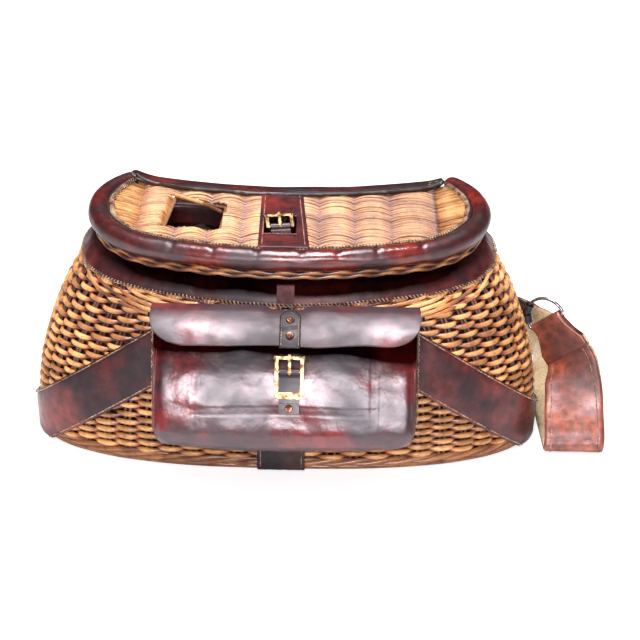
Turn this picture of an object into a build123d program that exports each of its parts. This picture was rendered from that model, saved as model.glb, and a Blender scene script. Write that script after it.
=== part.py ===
"""Wicker fishing creel: a woven kidney-shaped basket with a leather-bound lid, a front pouch,
harness straps and a shoulder strap on two dee rings.

Millimetres, +Z up.  The origin is the middle of the flat ring that the basket stands on.
X runs to the right and Y to the back, where the basket is hollowed to fit the hip.
"""
import os
from functools import lru_cache
from math import copysign, cos, pi, radians, sin

from build123d import *

os.makedirs("parts", exist_ok=True)

# ---------------------------------------------------------------- driving dimensions
# Basket, measured to the outer face of the weave.
base_half_width = 194.0      # widest half-width at the foot
mouth_half_width = 151.0     # the same at the mouth
base_front_reach = 85.0      # origin to the front of the foot
mouth_front_reach = 51.0     # origin line to the front of the mouth
base_back_reach = 89.0       # origin to the rear corners at the foot
mouth_back_reach = 86.0
base_widest_line = -6.0      # how far back the widest line lies
mouth_widest_line = 29.0
base_hollow = 16.0           # depth of the hollow in the back wall
mouth_hollow = 22.0
belly = 3.5                  # swelling of the walls half-way up
basket_height = 141.5        # foot to mouth, on the origin line
mouth_tilt = 5.0             # degrees that the mouth rises towards the back
wall_thickness = 7.0

# Borders, floor and leather collar.
foot_height = 9.0
foot_width = 13.0
foot_round = 2.5
floor_thickness = 5.0
floor_lift = 0.0             # the woven floor rests on the ground with the foot
border_height = 7.0
border_width = 9.0
collar_thickness = 2.0
collar_depth = 14.0          # outside the mouth
leather_gap = 0.2            # between leather and the weave under it

# Lid, in its own plane: x to the right, y back from the front of the roll, z up from its middle.
lid_half_width = 145.0       # to the middle of the roll
lid_front_radius = 330.0
lid_front_angle = 17.5       # half of the front arc, degrees
lid_side_radius = 63.5
lid_side_angle = 50.0
lid_back_depth = 104.0       # front of the roll's middle line to the middle of the hollow back
lid_corner_round = 9.0
roll_radius = 8.3
roll_out = 2.7               # the roll's middle line lies this far outside the rim line
roll_rise = 2.7              # and this far above it
roll_end_angle = 44.0        # where the roll stops on the side arc
roll_front_y = -42.0         # the roll's middle line at the front of the basket
roll_height = 153.0
panel_thickness = 5.0
panel_top = 7.0
under_border_inset = 1.0
under_border_width = 15.0
under_border_bottom = -12.7
under_border_thickness = 6.6
fish_hole = ((-89.9, 93.5), (-49.5, 77.5), (-52.0, 37.0), (-94.9, 42.0))
fish_hole_round = 3.0
stick_radius = 1.6
stick_ends = ((-86.0, 88.1), (-57.0, 67.5))
strip_thickness = 2.0
strip_outline = ((-21.8, 5.4), (16.0, 5.4), (10.2, 91.7), (-22.2, 91.7))
strip_lift = 0.1             # between the strip and the weave
slot_width = 24.0
slot_depth = 30.0
slot_x = -6.2
slot_y = 41.0
well_margin = 2.5            # the weave is open wider than the slot
binding_width = 14.0
binding_thickness = 2.2

# Lid hinges: a willow rod at each rear corner, held by two keepers, in a leather loop of the lid.
hinge_x = 100.0
hinge_y = 126.0              # in the lid's plane
hinge_z = -5.0
rod_radius = 2.4
rod_length = 28.0
loop_radius = 4.9
loop_width = 10.8
loop_clearance = 0.2
keeper_width = 6.0
keeper_spacing = 18.0        # between the middles of two keepers
keeper_leg_thickness = 2.6
keeper_leg_y = 84.6          # inner face of the leg
keeper_leg_bottom = 134.5
tongue_length = 21.0
tongue_thickness = 2.4

# Pouch on the front.
pouch_half_width = 96.0
pouch_top = 121.0            # its back piece ends under the collar
pouch_floor = 31.0
pouch_corner = 14.0
leather = 2.2
pouch_front_line = ((-93, 104), (-102, 88), (-108.5, 74), (-114, 60), (-118, 48), (-116.5, 38), (-109, 31))
pouch_side_top = 112.0
flap_axis_y = -61.0
flap_axis_z = 124.8
flap_lip_y = -92.0
flap_lip_z = 111.5
flap_bulge = 3.0             # how far the flap rises over the straight line from hinge to lip
flap_half_width = 98.0
flap_corner = 20.0
flap_thickness = 2.0
tab_x = 3.7
tab_width = 14.7
tab_thickness = 1.8
tab_start = 0.28             # along the flap, from the hinge
tab_overhang = 3.0           # below the lip
rivet_places = (0.52, 0.86)
rivet_head_radius = 2.9
rivet_head_height = 1.2
rivet_shank_radius = 1.4
fit = 0.05                   # clearance round shanks and between faces that lie on each other

# Buckles: the pouch buckle has a heel below its bar, the lid buckle is a single loop.
buckle_half_width = 10.4
buckle_top = 11.5            # from the centre bar to the outer edge of the top bar
pouch_buckle_heel = 19.0     # from the centre bar to the outer edge of the heel bar
buckle_side = 2.4
buckle_top_bar = 2.2
pouch_buckle_heel_bar = 4.6
lid_buckle_heel = 1.8        # its sides end just past the bar
buckle_thickness = 2.4
buckle_corner = 4.0
bar_radius = 1.1
ball_radius = 1.7
prong_width = 2.0
prong_thickness = 1.2
prong_eye = 2.3
chape_width = 14.7
chape_thickness = 1.4
bar_play = 0.12
prong_slot = 2.8
pouch_buckle_x = 3.7
pouch_buckle_y = -102.7      # centre bar of the pouch buckle
pouch_buckle_z = 93.8
pouch_buckle_lean = 27.0     # degrees that the buckle leans back from upright
chape_bend = 21.5            # from the centre bar to the bend that the buckle swings on
chape_foot = 7.4             # the riveted part below the bend
bend_gap = 0.8               # room for the bend to turn
lid_buckle_y = 38.5
lid_buckle_z = 8.4
lid_buckle_lean = 20.0       # degrees that the top bar stands up from the lid
lid_buckle_turn = 8.0        # degrees that it lies askew in the slot
lid_chape_length = 13.8

# Straps on the basket.
strap_thickness = 2.2
strap_gap = 0.3
side_strap_width = 38.0
side_strap_middle = (-99.5, -75.5, 86.8)
side_strap_across = (0.520, -0.273, -0.809)
side_strap_end_y = 22.0
ground_clearance = 0.6
hanger_width = 12.8
hanger_bottom = 127.6
bottom_tab_width = 36.0
bottom_tab_x = -2.5
bottom_tab_top = 30.8
tail_width = 15.0
tail_length = 34.0
tail_x = -72.0
tail_z = 116.0

# Dee rings: the straight bar lies in the strap's fold, the bow runs through two leather anchors.
wire_radius = 1.25
dee_half_width = 17.0
dee_corner = 2.5
dee_lean = 42.0              # degrees from the horizontal to the straight bar
ring_x = 203.0               # middle of the right ring's straight bar
ring_y = 3.5
ring_z = 84.5
ring_turn = -35.0            # heading of the ring's plane, degrees from +X
left_ring_x = -162.6
left_ring_y = 90.6
left_ring_turn = 88.0
anchor_angles = (122.0, 154.0)   # along the bow
anchor_bore = 2.7
anchor_radius = 4.1
anchor_length = 6.0
anchor_neck = 3.4
anchor_reach = 24.0
anchor_rise = 12.0           # degrees that the anchors climb towards the basket

# Shoulder strap, with a felt lining.
shoulder_width = 45.0
shoulder_leather = 2.8
shoulder_felt = 2.4
shoulder_end_width = 28.0
shoulder_end_length = 22.0
shoulder_end_gap = 8.0
shoulder_end_flare = 42.0    # width where the end meets the strap
fold_clearance = 0.1


# ---------------------------------------------------------------- shapes shared by many pieces
def superellipse(angle, power):
    """Unit superellipse point at an angle in radians."""
    c, s = cos(angle), sin(angle)
    return copysign(abs(c) ** (2 / power), c), copysign(abs(s) ** (2 / power), s)


def outline(level, grow=0.0, count=40):
    """Kidney outline of the basket at a height fraction, moved outward by grow."""
    half_width = base_half_width + (mouth_half_width - base_half_width) * level ** 2.4
    half_width += belly * sin(pi * level) + grow
    front = base_front_reach + (mouth_front_reach - base_front_reach) * level ** 1.9
    front += belly * sin(pi * level) + grow
    back = base_back_reach + (mouth_back_reach - base_back_reach) * level + grow
    widest = base_widest_line + (mouth_widest_line - base_widest_line) * level ** 1.8
    hollow = base_hollow + (mouth_hollow - base_hollow) * level
    lobe = 0.72 * half_width
    points = []
    for i in range(count):
        angle = 2 * pi * (i + 0.5) / count
        if angle > pi:
            x, y = superellipse(angle, 2.5 - 0.1 * level)
            points.append((half_width * x, widest + (front + widest) * y))
        else:
            x, y = superellipse(angle, 3.6)
            y = widest + (back - widest) * y
            if abs(half_width * x) < lobe:
                y -= hollow * (0.5 + 0.5 * cos(pi * half_width * x / lobe))
            points.append((half_width * x, y))
    return points


def weave_plane(level):
    """Plane of the weave at a height fraction: it tilts more towards the mouth."""
    tilt = radians(mouth_tilt * level)
    return Plane(origin=(0, 0, basket_height * level), x_dir=(1, 0, 0), z_dir=(0, -sin(tilt), cos(tilt)))


@lru_cache(maxsize=None)
def basket_form(grow):
    """Solid inside the basket's outer face moved outward by grow, from the ground past the mouth."""
    with BuildPart() as form:
        for level in (0, 0.2, 0.4, 0.6, 0.8, 1.0, 1.06):
            with BuildSketch(weave_plane(level)):
                with BuildLine():
                    Spline(*outline(level, grow), periodic=True)
                make_face()
        loft()
    return form.part


def basket_band(inner, outer, low, high):
    """Shell between two moved faces of the basket, between two height fractions."""
    with BuildPart() as band:
        add(basket_form(outer))
        add(basket_form(inner), mode=Mode.SUBTRACT)
        split(bisect_by=weave_plane(low), keep=Keep.TOP)
        split(bisect_by=weave_plane(high), keep=Keep.BOTTOM)
    return band.part


def keep(piece, name):
    """Label a finished piece and write it."""
    piece.label = name
    export_step(piece, f"parts/{name}.step")
    return piece


# ---------------------------------------------------------------- basket
foot_level = foot_height / basket_height
border_level = 1 - border_height / basket_height

with BuildPart() as foot_border:
    with BuildSketch():
        with BuildLine():
            Spline(*outline(foot_level / 2, -0.5), periodic=True)
        make_face()
        with BuildLine():
            Spline(*outline(foot_level / 2, -foot_width), periodic=True)
        make_face(mode=Mode.SUBTRACT)
    extrude(amount=foot_height)
    fillet(foot_border.edges().group_by(Axis.Z)[0].sort_by(SortBy.LENGTH)[-1], foot_round)
keep(foot_border.part, "foot_border")

with BuildPart() as base_panel:
    with BuildSketch(Plane.XY.offset(floor_lift)):
        with BuildLine():
            Spline(*outline(foot_level / 2, -foot_width - fit), periodic=True)
        make_face()
    extrude(amount=floor_thickness)
keep(base_panel.part, "base_panel")

with BuildPart() as basket_wall:
    add(basket_band(-wall_thickness, 0, 0, border_level))
    split(bisect_by=Plane.XY.offset(foot_height + fit), keep=Keep.TOP)
keep(basket_wall.part, "basket_wall")

mouth_border = basket_band(-border_width, 0, border_level + fit / basket_height, 1)
keep(mouth_border, "mouth_border")

collar_out = leather_gap + collar_thickness
collar_low = 1 - collar_depth / basket_height
collar_top = 1 + collar_out / basket_height
with BuildPart() as collar_band:
    add(basket_band(-border_width - collar_out, collar_out, collar_low, collar_top))
    add(basket_band(-border_width - leather_gap, leather_gap, collar_low - 0.1, 1 + leather_gap / basket_height),
        mode=Mode.SUBTRACT)
keep(collar_band.part, "collar_band")

# ---------------------------------------------------------------- lid
lid_tilt = radians(mouth_tilt)
lid_plane = Plane(origin=(0, roll_front_y, roll_height), x_dir=(1, 0, 0), z_dir=(0, -sin(lid_tilt), cos(lid_tilt)))
front_turn = radians(lid_front_angle)
corner_radius = (lid_half_width - lid_front_radius * sin(front_turn)) / (1 - sin(front_turn))
corner_x = (lid_front_radius - corner_radius) * sin(front_turn)
corner_y = lid_front_radius - (lid_front_radius - corner_radius) * cos(front_turn)
side_x = corner_x + corner_radius - lid_side_radius


def on_circle(x, y, radius, angle):
    """Point on a circle at an angle in degrees."""
    return (x + radius * cos(radians(angle)), y + radius * sin(radians(angle)))


def rim_arcs(inset, end_angle):
    """Start, middle and end of each arc along the lid's rim, from the left end to the right end."""
    joint = lid_front_angle - 90
    corner = [on_circle(corner_x, corner_y, corner_radius - inset, a) for a in (joint, joint / 2, 0)]
    side = [on_circle(side_x, corner_y, lid_side_radius - inset, a) for a in (0, end_angle / 2, end_angle)]
    front = [on_circle(0, lid_front_radius, lid_front_radius - inset, a) for a in (-180 - joint, -90, joint)]
    left = [[(-x, y) for x, y in reversed(arc)] for arc in (side, corner)]
    return left + [front, corner, side]


def lid_sheet(inset, back_depth, end_angle, corner_round):
    """Face inside the rim, closed by a hollow back edge."""
    arcs = rim_arcs(inset, end_angle)
    with BuildSketch() as sheet:
        with BuildLine():
            for start, middle, end in arcs:
                ThreePointArc(start, middle, end)
            ThreePointArc(arcs[-1][2], (0, back_depth), arcs[0][0])
        make_face()
        fillet(sheet.vertices().sort_by(Axis.Y)[-2:], corner_round)
    return sheet.sketch


with BuildPart() as lid_rim_roll:
    with BuildLine(lid_plane.offset(roll_rise)) as roll_path:
        for start, middle, end in rim_arcs(-roll_out, roll_end_angle):
            ThreePointArc(start, middle, end)
    with BuildSketch(roll_path.line ^ 0):
        Circle(roll_radius)
    sweep()
    fillet(lid_rim_roll.edges().filter_by(GeomType.CIRCLE).sort_by(Axis.Y)[-2:], roll_radius - 4)
keep(lid_rim_roll.part, "lid_rim_roll")

panel_inset = roll_radius - roll_out + fit
panel_back = lid_back_depth
panel_plane = lid_plane.offset(panel_top - panel_thickness)
slot_face = Rectangle(slot_width, slot_depth).moved(Location((slot_x, slot_y)))
well_face = Rectangle(slot_width + 2 * well_margin, slot_depth + 2 * well_margin).moved(Location((slot_x, slot_y)))
with BuildPart() as lid_panel:
    with BuildSketch(panel_plane):
        add(lid_sheet(panel_inset, panel_back, lid_side_angle, lid_corner_round))
        with BuildSketch(mode=Mode.PRIVATE) as hole_face:
            Polygon(*fish_hole, align=None)
            fillet(hole_face.vertices(), fish_hole_round)
        add(hole_face.sketch, mode=Mode.SUBTRACT)
        add(well_face, mode=Mode.SUBTRACT)
    extrude(amount=panel_thickness)
keep(lid_panel.part, "lid_panel")

border_outer = lid_sheet(under_border_inset, panel_back, roll_end_angle, 3)
border_opening = lid_sheet(under_border_inset + under_border_width, panel_back + 26, roll_end_angle + 20, 3)
upright_outer = lid_sheet(panel_inset + fit, panel_back, roll_end_angle, 3)
with BuildPart() as lid_under_border:
    with BuildSketch(lid_plane.offset(under_border_bottom)):
        add(border_outer)
    extrude(amount=under_border_thickness)
    with BuildSketch(lid_plane.offset(under_border_bottom)):
        add(upright_outer)
    extrude(amount=panel_top - panel_thickness - under_border_bottom - 2 * fit - binding_thickness - 0.1)
    with BuildSketch(lid_plane.offset(under_border_bottom - 1)):
        add(border_opening)
    extrude(amount=30, mode=Mode.SUBTRACT)
keep(lid_under_border.part, "lid_under_border")

with BuildPart() as lid_centre_strip:
    with BuildSketch(lid_plane.offset(panel_top + strip_lift)):
        Polygon(*strip_outline, align=None)
        add(slot_face, mode=Mode.SUBTRACT)
    extrude(amount=strip_thickness)
keep(lid_centre_strip.part, "lid_centre_strip")

with BuildPart() as lid_back_binding:
    with BuildSketch(panel_plane.offset(-fit - binding_thickness)):
        add(lid_sheet(panel_inset, panel_back + binding_thickness, lid_side_angle + 1, lid_corner_round))
        add(lid_sheet(panel_inset - 5, panel_back + binding_thickness - binding_width, lid_side_angle - 17, 0.5),
            mode=Mode.SUBTRACT)
    extrude(amount=panel_thickness + 2 * (fit + binding_thickness))
    with BuildSketch(panel_plane.offset(-fit)):
        add(lid_sheet(panel_inset - fit, panel_back + fit, lid_side_angle, lid_corner_round))
    extrude(amount=panel_thickness + 2 * fit, mode=Mode.SUBTRACT)
keep(lid_back_binding.part, "lid_back_binding")

with BuildPart() as fish_hole_stick:
    with BuildLine(panel_plane.offset(panel_thickness / 2)) as stick_line:
        Line(*stick_ends)
    with BuildSketch(stick_line.line ^ 0):
        Circle(stick_radius)
    sweep()
keep(fish_hole_stick.part, "fish_hole_stick")

# ---------------------------------------------------------------- lid hinges
hinge_axis_at = lid_plane.from_local_coords((0, hinge_y, hinge_z))
rod_places = [(side * hinge_x, hinge_axis_at.Y, hinge_axis_at.Z) for side in (-1, 1)]
with BuildPart() as hinge_rods:
    with Locations(*rod_places):
        Cylinder(rod_radius, rod_length, rotation=(0, 90, 0))
keep(hinge_rods.part, "hinge_rods")

keeper_places = [(x + side * keeper_spacing / 2, y, z) for x, y, z in rod_places for side in (-1, 1)]
keeper_leg_places = [(x, keeper_leg_y, keeper_leg_bottom) for x, y, z in keeper_places]
with BuildPart() as hinge_keepers:
    with Locations(*keeper_places):
        Cylinder(loop_radius, keeper_width, rotation=(0, 90, 0))
    with Locations(*keeper_leg_places):
        Box(keeper_width, keeper_leg_thickness, hinge_axis_at.Z - keeper_leg_bottom,
            align=(Align.CENTER, Align.MIN, Align.MIN))
    with Locations(*keeper_places):
        Cylinder(rod_radius + fit, keeper_width + 1, rotation=(0, 90, 0), mode=Mode.SUBTRACT)
    add(basket_form(collar_out + fit), mode=Mode.SUBTRACT)
keep(hinge_keepers.part, "hinge_keepers")

tongue_plane = lid_plane.offset(panel_top - panel_thickness - fit - binding_thickness - fit - tongue_thickness)
tongue_places = [(side * hinge_x, hinge_y) for side in (-1, 1)]
with BuildPart() as lid_hinge_loops:
    with Locations(*rod_places):
        Cylinder(loop_radius, loop_width, rotation=(0, 90, 0))
    with BuildSketch(tongue_plane):
        with Locations(*tongue_places):
            Rectangle(loop_width, tongue_length, align=(Align.CENTER, Align.MAX))
    extrude(amount=tongue_thickness)
    with Locations(*rod_places):
        Cylinder(rod_radius + loop_clearance, loop_width + 1, rotation=(0, 90, 0), mode=Mode.SUBTRACT)
keep(lid_hinge_loops.part, "lid_hinge_loops")

# ---------------------------------------------------------------- pouch
with BuildPart() as pouch_back:
    with BuildSketch(Plane.XZ) as back_face:
        with Locations((0, (pouch_floor + pouch_top) / 2)):
            Rectangle(2 * pouch_half_width, pouch_top - pouch_floor)
        fillet(back_face.vertices().group_by(Axis.Y)[0], pouch_corner)
    extrude(amount=120)
    add(basket_band(strap_gap, strap_gap + leather, 0, 0.94), mode=Mode.INTERSECT)
keep(pouch_back.part, "pouch_back")


def pouch_block(inset, top):
    """Solid of the pouch, moved inward; the top is where its mouth closes at the sides."""
    outer = Spline(*pouch_front_line)
    skin = []
    for share in (0, 0.17, 0.33, 0.5, 0.67, 0.83, 1):
        at = outer @ share
        way = outer % share
        skin.append((at.X - inset * way.Y, at.Y + inset * way.X))
    floor_z = pouch_floor + inset
    with BuildPart() as block:
        with BuildSketch(Plane.YZ):
            with BuildLine():
                front = Spline(*skin)
                Polyline(front @ 1, (-104, floor_z), (-50, floor_z), (-50, top - inset), (-62, top - inset), front @ 0)
            make_face()
            if inset:
                Polygon((-91.8, 99.5), (-89.7, 104.2), (-84, 130), (-56, 130), (-56, 99.5), align=None)
        extrude(amount=pouch_half_width - inset, both=True)
        with BuildSketch(Plane.XZ) as front_face:
            with Locations((0, floor_z)):
                Rectangle(2 * (pouch_half_width - inset), 120, align=(Align.CENTER, Align.MIN))
            fillet(front_face.vertices().group_by(Axis.Y)[0], pouch_corner - inset)
        extrude(amount=160, mode=Mode.INTERSECT)
    return block.part


# The flap lies on an arc from its hinge to its lip; the tab follows the same arc on top of it.
lip_dy = flap_lip_y - flap_axis_y
lip_dz = flap_lip_z - flap_axis_z
lip_reach = (lip_dy ** 2 + lip_dz ** 2) ** 0.5
flap_middle = (
    flap_axis_y + lip_dy / 2 + flap_bulge * lip_dz / lip_reach,
    flap_axis_z + lip_dz / 2 - flap_bulge * lip_dy / lip_reach,
)
flap_arc = ThreePointArc((flap_axis_y, flap_axis_z), flap_middle, (flap_lip_y, flap_lip_z))


def flap_point(along, above):
    """Point over the flap's middle line, in the plane of its section."""
    at = flap_arc @ along
    way = flap_arc % along
    return (at.X + above * way.Y, at.Y - above * way.X)


def flap_layer(start, end, low, high):
    """Section of a layer on the flap, between two places along it and two heights over it."""
    middle = (start + end) / 2
    with BuildSketch() as layer:
        with BuildLine():
            ThreePointArc(*[flap_point(along, low) for along in (start, middle, end)])
            ThreePointArc(*[flap_point(along, high) for along in (start, middle, end)])
            Line(flap_point(start, low), flap_point(start, high))
            Line(flap_point(end, low), flap_point(end, high))
        make_face()
    return layer.sketch


rivet_planes = []
for along in rivet_places:
    foot = flap_point(along, -flap_thickness / 2)
    head = flap_point(along, flap_thickness / 2)
    rivet_planes.append(Plane(origin=(tab_x, *foot), x_dir=(1, 0, 0), z_dir=(0, head[0] - foot[0], head[1] - foot[1])))

with BuildPart() as pouch_flap:
    with BuildSketch(Plane.YZ):
        add(flap_layer(0, 1, -flap_thickness / 2, flap_thickness / 2))
    extrude(amount=flap_half_width, both=True)
    with BuildSketch() as flap_plan:
        with Locations((0, flap_axis_y + 5)):
            Rectangle(2 * flap_half_width, flap_axis_y + 5 - flap_lip_y + 1.5, align=(Align.CENTER, Align.MAX))
        fillet(flap_plan.vertices().group_by(Axis.Y)[0], flap_corner)
    extrude(amount=200, mode=Mode.INTERSECT)
    for plane in rivet_planes:
        with BuildSketch(plane.offset(-2)):
            Circle(rivet_shank_radius + fit)
        extrude(amount=8, mode=Mode.SUBTRACT)
keep(pouch_flap.part, "pouch_flap")

tab_low = flap_thickness / 2 + fit
tab_high = tab_low + tab_thickness
with BuildPart() as flap_tab:
    with BuildSketch(Plane.YZ.offset(tab_x)):
        add(flap_layer(tab_start, 1 + tab_overhang / lip_reach, tab_low, tab_high))
    extrude(amount=tab_width / 2, both=True)
    for plane in rivet_planes:
        with BuildSketch(plane.offset(-2)):
            Circle(rivet_shank_radius + fit)
        extrude(amount=8, mode=Mode.SUBTRACT)
keep(flap_tab.part, "flap_tab")

rivet_top = flap_thickness + fit + tab_thickness + fit
with BuildPart() as flap_rivets:
    for plane in rivet_planes:
        with BuildSketch(plane.offset(rivet_top)):
            Circle(rivet_head_radius)
        extrude(amount=rivet_head_height, taper=25)
        with BuildSketch(plane.offset(-fit)):
            Circle(rivet_shank_radius)
        extrude(amount=rivet_top + fit)
        with BuildSketch(plane.offset(-fit)):
            Circle(rivet_head_radius - 0.6)
        extrude(amount=-0.8)
keep(flap_rivets.part, "flap_rivets")


# ---------------------------------------------------------------- buckles
def buckle_frame(heel, heel_bar, corner):
    """Buckle frame in its own plane: its bar lies on the x axis, the top bar is towards +y."""
    with BuildPart() as frame:
        with BuildSketch(Plane.XY.offset(-buckle_thickness / 2)) as face:
            with Locations((0, -heel)):
                Rectangle(2 * buckle_half_width, buckle_top + heel, align=(Align.CENTER, Align.MIN))
            fillet(face.vertices().group_by(Axis.Y)[0], corner)
            with Locations((0, heel_bar - heel)):
                Rectangle(2 * (buckle_half_width - buckle_side), buckle_top - buckle_top_bar + heel - heel_bar,
                          align=(Align.CENTER, Align.MIN), mode=Mode.SUBTRACT)
        extrude(amount=buckle_thickness)
        Cylinder(bar_radius, 2 * buckle_half_width - buckle_side, rotation=(0, 90, 0))
        with Locations((-buckle_half_width, buckle_top - 1, 0), (buckle_half_width, buckle_top - 1, 0)):
            Sphere(ball_radius, rotation=(0, 90, 0))
    return frame.part


def buckle_prong():
    """Prong: an eye round the bar and a flat tongue that lies over the top bar."""
    lift = buckle_thickness / 2 + fit
    with BuildPart() as prong:
        with BuildSketch(Plane.YZ):
            Circle(prong_eye)
            Polygon((0, -0.9), (0, prong_eye), (3, lift + prong_thickness), (buckle_top + 1.5, lift + prong_thickness),
                    (buckle_top + 1.5, lift), (5, lift), align=None)
            Circle(bar_radius + bar_play, mode=Mode.SUBTRACT)
        extrude(amount=prong_width / 2, both=True)
    return prong.part


def chape_loop(bend, low):
    """Leather folded round the bar, slotted for the prong; its tail runs to the bend behind the heel."""
    inner = bar_radius + bar_play
    outer = inner + chape_thickness
    with BuildPart() as loop:
        with BuildSketch(Plane.YZ):
            Circle(outer)
            top = low + chape_thickness
            Polygon((0, -outer), (0, 0), (-4, top), (-bend, top), (-bend, low), (-6, low), align=None)
            Circle(inner, mode=Mode.SUBTRACT)
        extrude(amount=chape_width / 2, both=True)
        with Locations((0, -prong_eye - 0.2, 0)):
            Box(prong_slot, 3 * outer, 3 * outer, align=(Align.CENTER, Align.MIN, Align.CENTER), mode=Mode.SUBTRACT)
    return loop.part


lean = radians(pouch_buckle_lean)
pouch_buckle_plane = Plane(
    origin=(pouch_buckle_x, pouch_buckle_y, pouch_buckle_z),
    x_dir=(1, 0, 0),
    z_dir=(0, -cos(lean), sin(lean)),
)
turn = radians(lid_buckle_turn)
lid_chape_plane = Plane(
    origin=lid_plane.from_local_coords((slot_x, lid_buckle_y, lid_buckle_z)),
    x_dir=lid_plane.x_dir * cos(turn) + lid_plane.y_dir * sin(turn),
    z_dir=lid_plane.z_dir,
)
buckle_rise = radians(lid_buckle_lean)
lid_buckle_plane = Plane(
    origin=lid_chape_plane.origin,
    x_dir=lid_chape_plane.x_dir,
    z_dir=lid_chape_plane.z_dir * cos(buckle_rise) - lid_chape_plane.y_dir * sin(buckle_rise),
)
chape_low = -buckle_thickness / 2 - fit - chape_thickness
lid_chape_low = panel_top + strip_lift - lid_buckle_z - fit - chape_thickness

pouch_frame = buckle_frame(pouch_buckle_heel, pouch_buckle_heel_bar, buckle_corner)
keep(pouch_frame.moved(pouch_buckle_plane.location), "pouch_buckle_frame")
keep(buckle_prong().moved(pouch_buckle_plane.location), "pouch_buckle_prong")
keep(chape_loop(chape_bend, chape_low).moved(pouch_buckle_plane.location), "pouch_buckle_chape")
lid_frame = buckle_frame(lid_buckle_heel, 0, 1)
keep(lid_frame.moved(lid_buckle_plane.location), "lid_buckle_frame")
keep(buckle_prong().moved(lid_buckle_plane.location), "lid_buckle_prong")
keep(chape_loop(lid_chape_length, lid_chape_low).moved(lid_chape_plane.location), "lid_buckle_chape")

# Below its bend the pouch buckle's leather is riveted to the pouch.
foot_middle = -chape_bend - bend_gap - chape_foot / 2
chape_rivet_plane = Plane(
    origin=pouch_buckle_plane.from_local_coords((0, foot_middle, chape_low)),
    x_dir=pouch_buckle_plane.x_dir,
    z_dir=pouch_buckle_plane.z_dir,
)
with BuildPart() as pouch_chape_foot:
    with BuildSketch(chape_rivet_plane):
        Rectangle(chape_width, chape_foot)
        Circle(rivet_shank_radius + fit, mode=Mode.SUBTRACT)
    extrude(amount=chape_thickness)
keep(pouch_chape_foot.part, "pouch_chape_foot")

with BuildPart() as chape_rivet:
    with BuildSketch(chape_rivet_plane.offset(chape_thickness + fit)):
        Circle(rivet_head_radius)
    extrude(amount=rivet_head_height, taper=25)
    with BuildSketch(chape_rivet_plane.offset(-chape_thickness)):
        Circle(rivet_shank_radius)
    extrude(amount=2 * chape_thickness + fit)
keep(chape_rivet.part, "chape_rivet")

with BuildPart() as pouch_front:
    add(pouch_block(0, pouch_side_top))
    add(pouch_block(leather, pouch_side_top), mode=Mode.SUBTRACT)
    add(basket_form(strap_gap + leather + fit), mode=Mode.SUBTRACT)
    with BuildSketch(chape_rivet_plane):
        Circle(rivet_shank_radius + fit)
    extrude(amount=-6, mode=Mode.SUBTRACT)
keep(pouch_front.part, "pouch_front")

# ---------------------------------------------------------------- straps on the basket
strap_skin = basket_band(strap_gap, strap_gap + strap_thickness, 0, 0.9)
with BuildPart() as side_strap_left:
    add(strap_skin)
    with BuildSketch(Plane(origin=side_strap_middle, z_dir=side_strap_across).offset(-side_strap_width / 2)):
        Rectangle(500, 500)
    extrude(amount=side_strap_width, mode=Mode.INTERSECT)
    split(bisect_by=Plane.YZ.offset(-pouch_half_width - strap_gap), keep=Keep.BOTTOM)
    split(bisect_by=Plane.XY.offset(ground_clearance), keep=Keep.TOP)
    split(bisect_by=Plane.XZ.offset(-side_strap_end_y), keep=Keep.TOP)
keep(side_strap_left.part, "side_strap_left")
keep(mirror(side_strap_left.part, about=Plane.YZ), "side_strap_right")

with BuildPart() as pouch_bottom_tab:
    add(strap_skin)
    with BuildSketch(Plane.XZ):
        with Locations((bottom_tab_x, ground_clearance)):
            Rectangle(bottom_tab_width, bottom_tab_top - ground_clearance, align=(Align.CENTER, Align.MIN))
    extrude(amount=120, mode=Mode.INTERSECT)
keep(pouch_bottom_tab.part, "pouch_bottom_tab")

hanger_low = collar_out + leather_gap
with BuildPart() as pouch_hanger:
    add(basket_band(hanger_low, hanger_low + tab_thickness, 0.8, collar_top))
    with BuildSketch(Plane.XZ):
        with Locations((-0.5, hanger_bottom)):
            Rectangle(hanger_width, 40, align=(Align.CENTER, Align.MIN))
    extrude(amount=120, mode=Mode.INTERSECT)
keep(pouch_hanger.part, "pouch_hanger")

tails_high = -border_width - collar_out - leather_gap
with BuildPart() as inner_strap_tails:
    add(basket_band(tails_high - strap_thickness, tails_high, 0.6, 1))
    with BuildSketch(Plane.XZ):
        with Locations(Location((tail_x, tail_z), 25), Location((tail_x, tail_z), -25)):
            Rectangle(tail_width, tail_length)
    extrude(amount=-120, mode=Mode.INTERSECT)
keep(inner_strap_tails.part, "inner_strap_tails")

# ---------------------------------------------------------------- dee rings and their anchors
def ring_place(x, y, heading):
    """Plane of a ring: x along its straight bar, y towards the top of its bow."""
    heading = radians(heading)
    outward = Vector(cos(heading), sin(heading), 0)
    rise = radians(dee_lean)
    bar = outward * cos(rise) + Vector(0, 0, sin(rise))
    return Plane(origin=(x, y, ring_z), x_dir=bar, z_dir=(sin(heading), -cos(heading), 0))


right_ring = ring_place(ring_x, ring_y, ring_turn)
left_ring = ring_place(left_ring_x, left_ring_y, left_ring_turn)

with BuildPart() as dee:
    with BuildLine() as dee_path:
        bow = ThreePointArc((dee_half_width, dee_corner), (0, dee_corner + dee_half_width), (-dee_half_width, dee_corner))
        straight = Line((dee_corner - dee_half_width, 0), (dee_half_width - dee_corner, 0))
        TangentArc(straight @ 1, bow @ 0, tangent=(1, 0))
        TangentArc(straight @ 0, bow @ 1, tangent=(-1, 0))
    with BuildSketch(Plane(origin=straight @ 0.5, z_dir=(1, 0, 0))):
        Circle(wire_radius)
    sweep(path=dee_path.wire())
keep(dee.part.moved(right_ring.location), "ring_right")
keep(dee.part.moved(left_ring.location), "ring_left")


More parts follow.
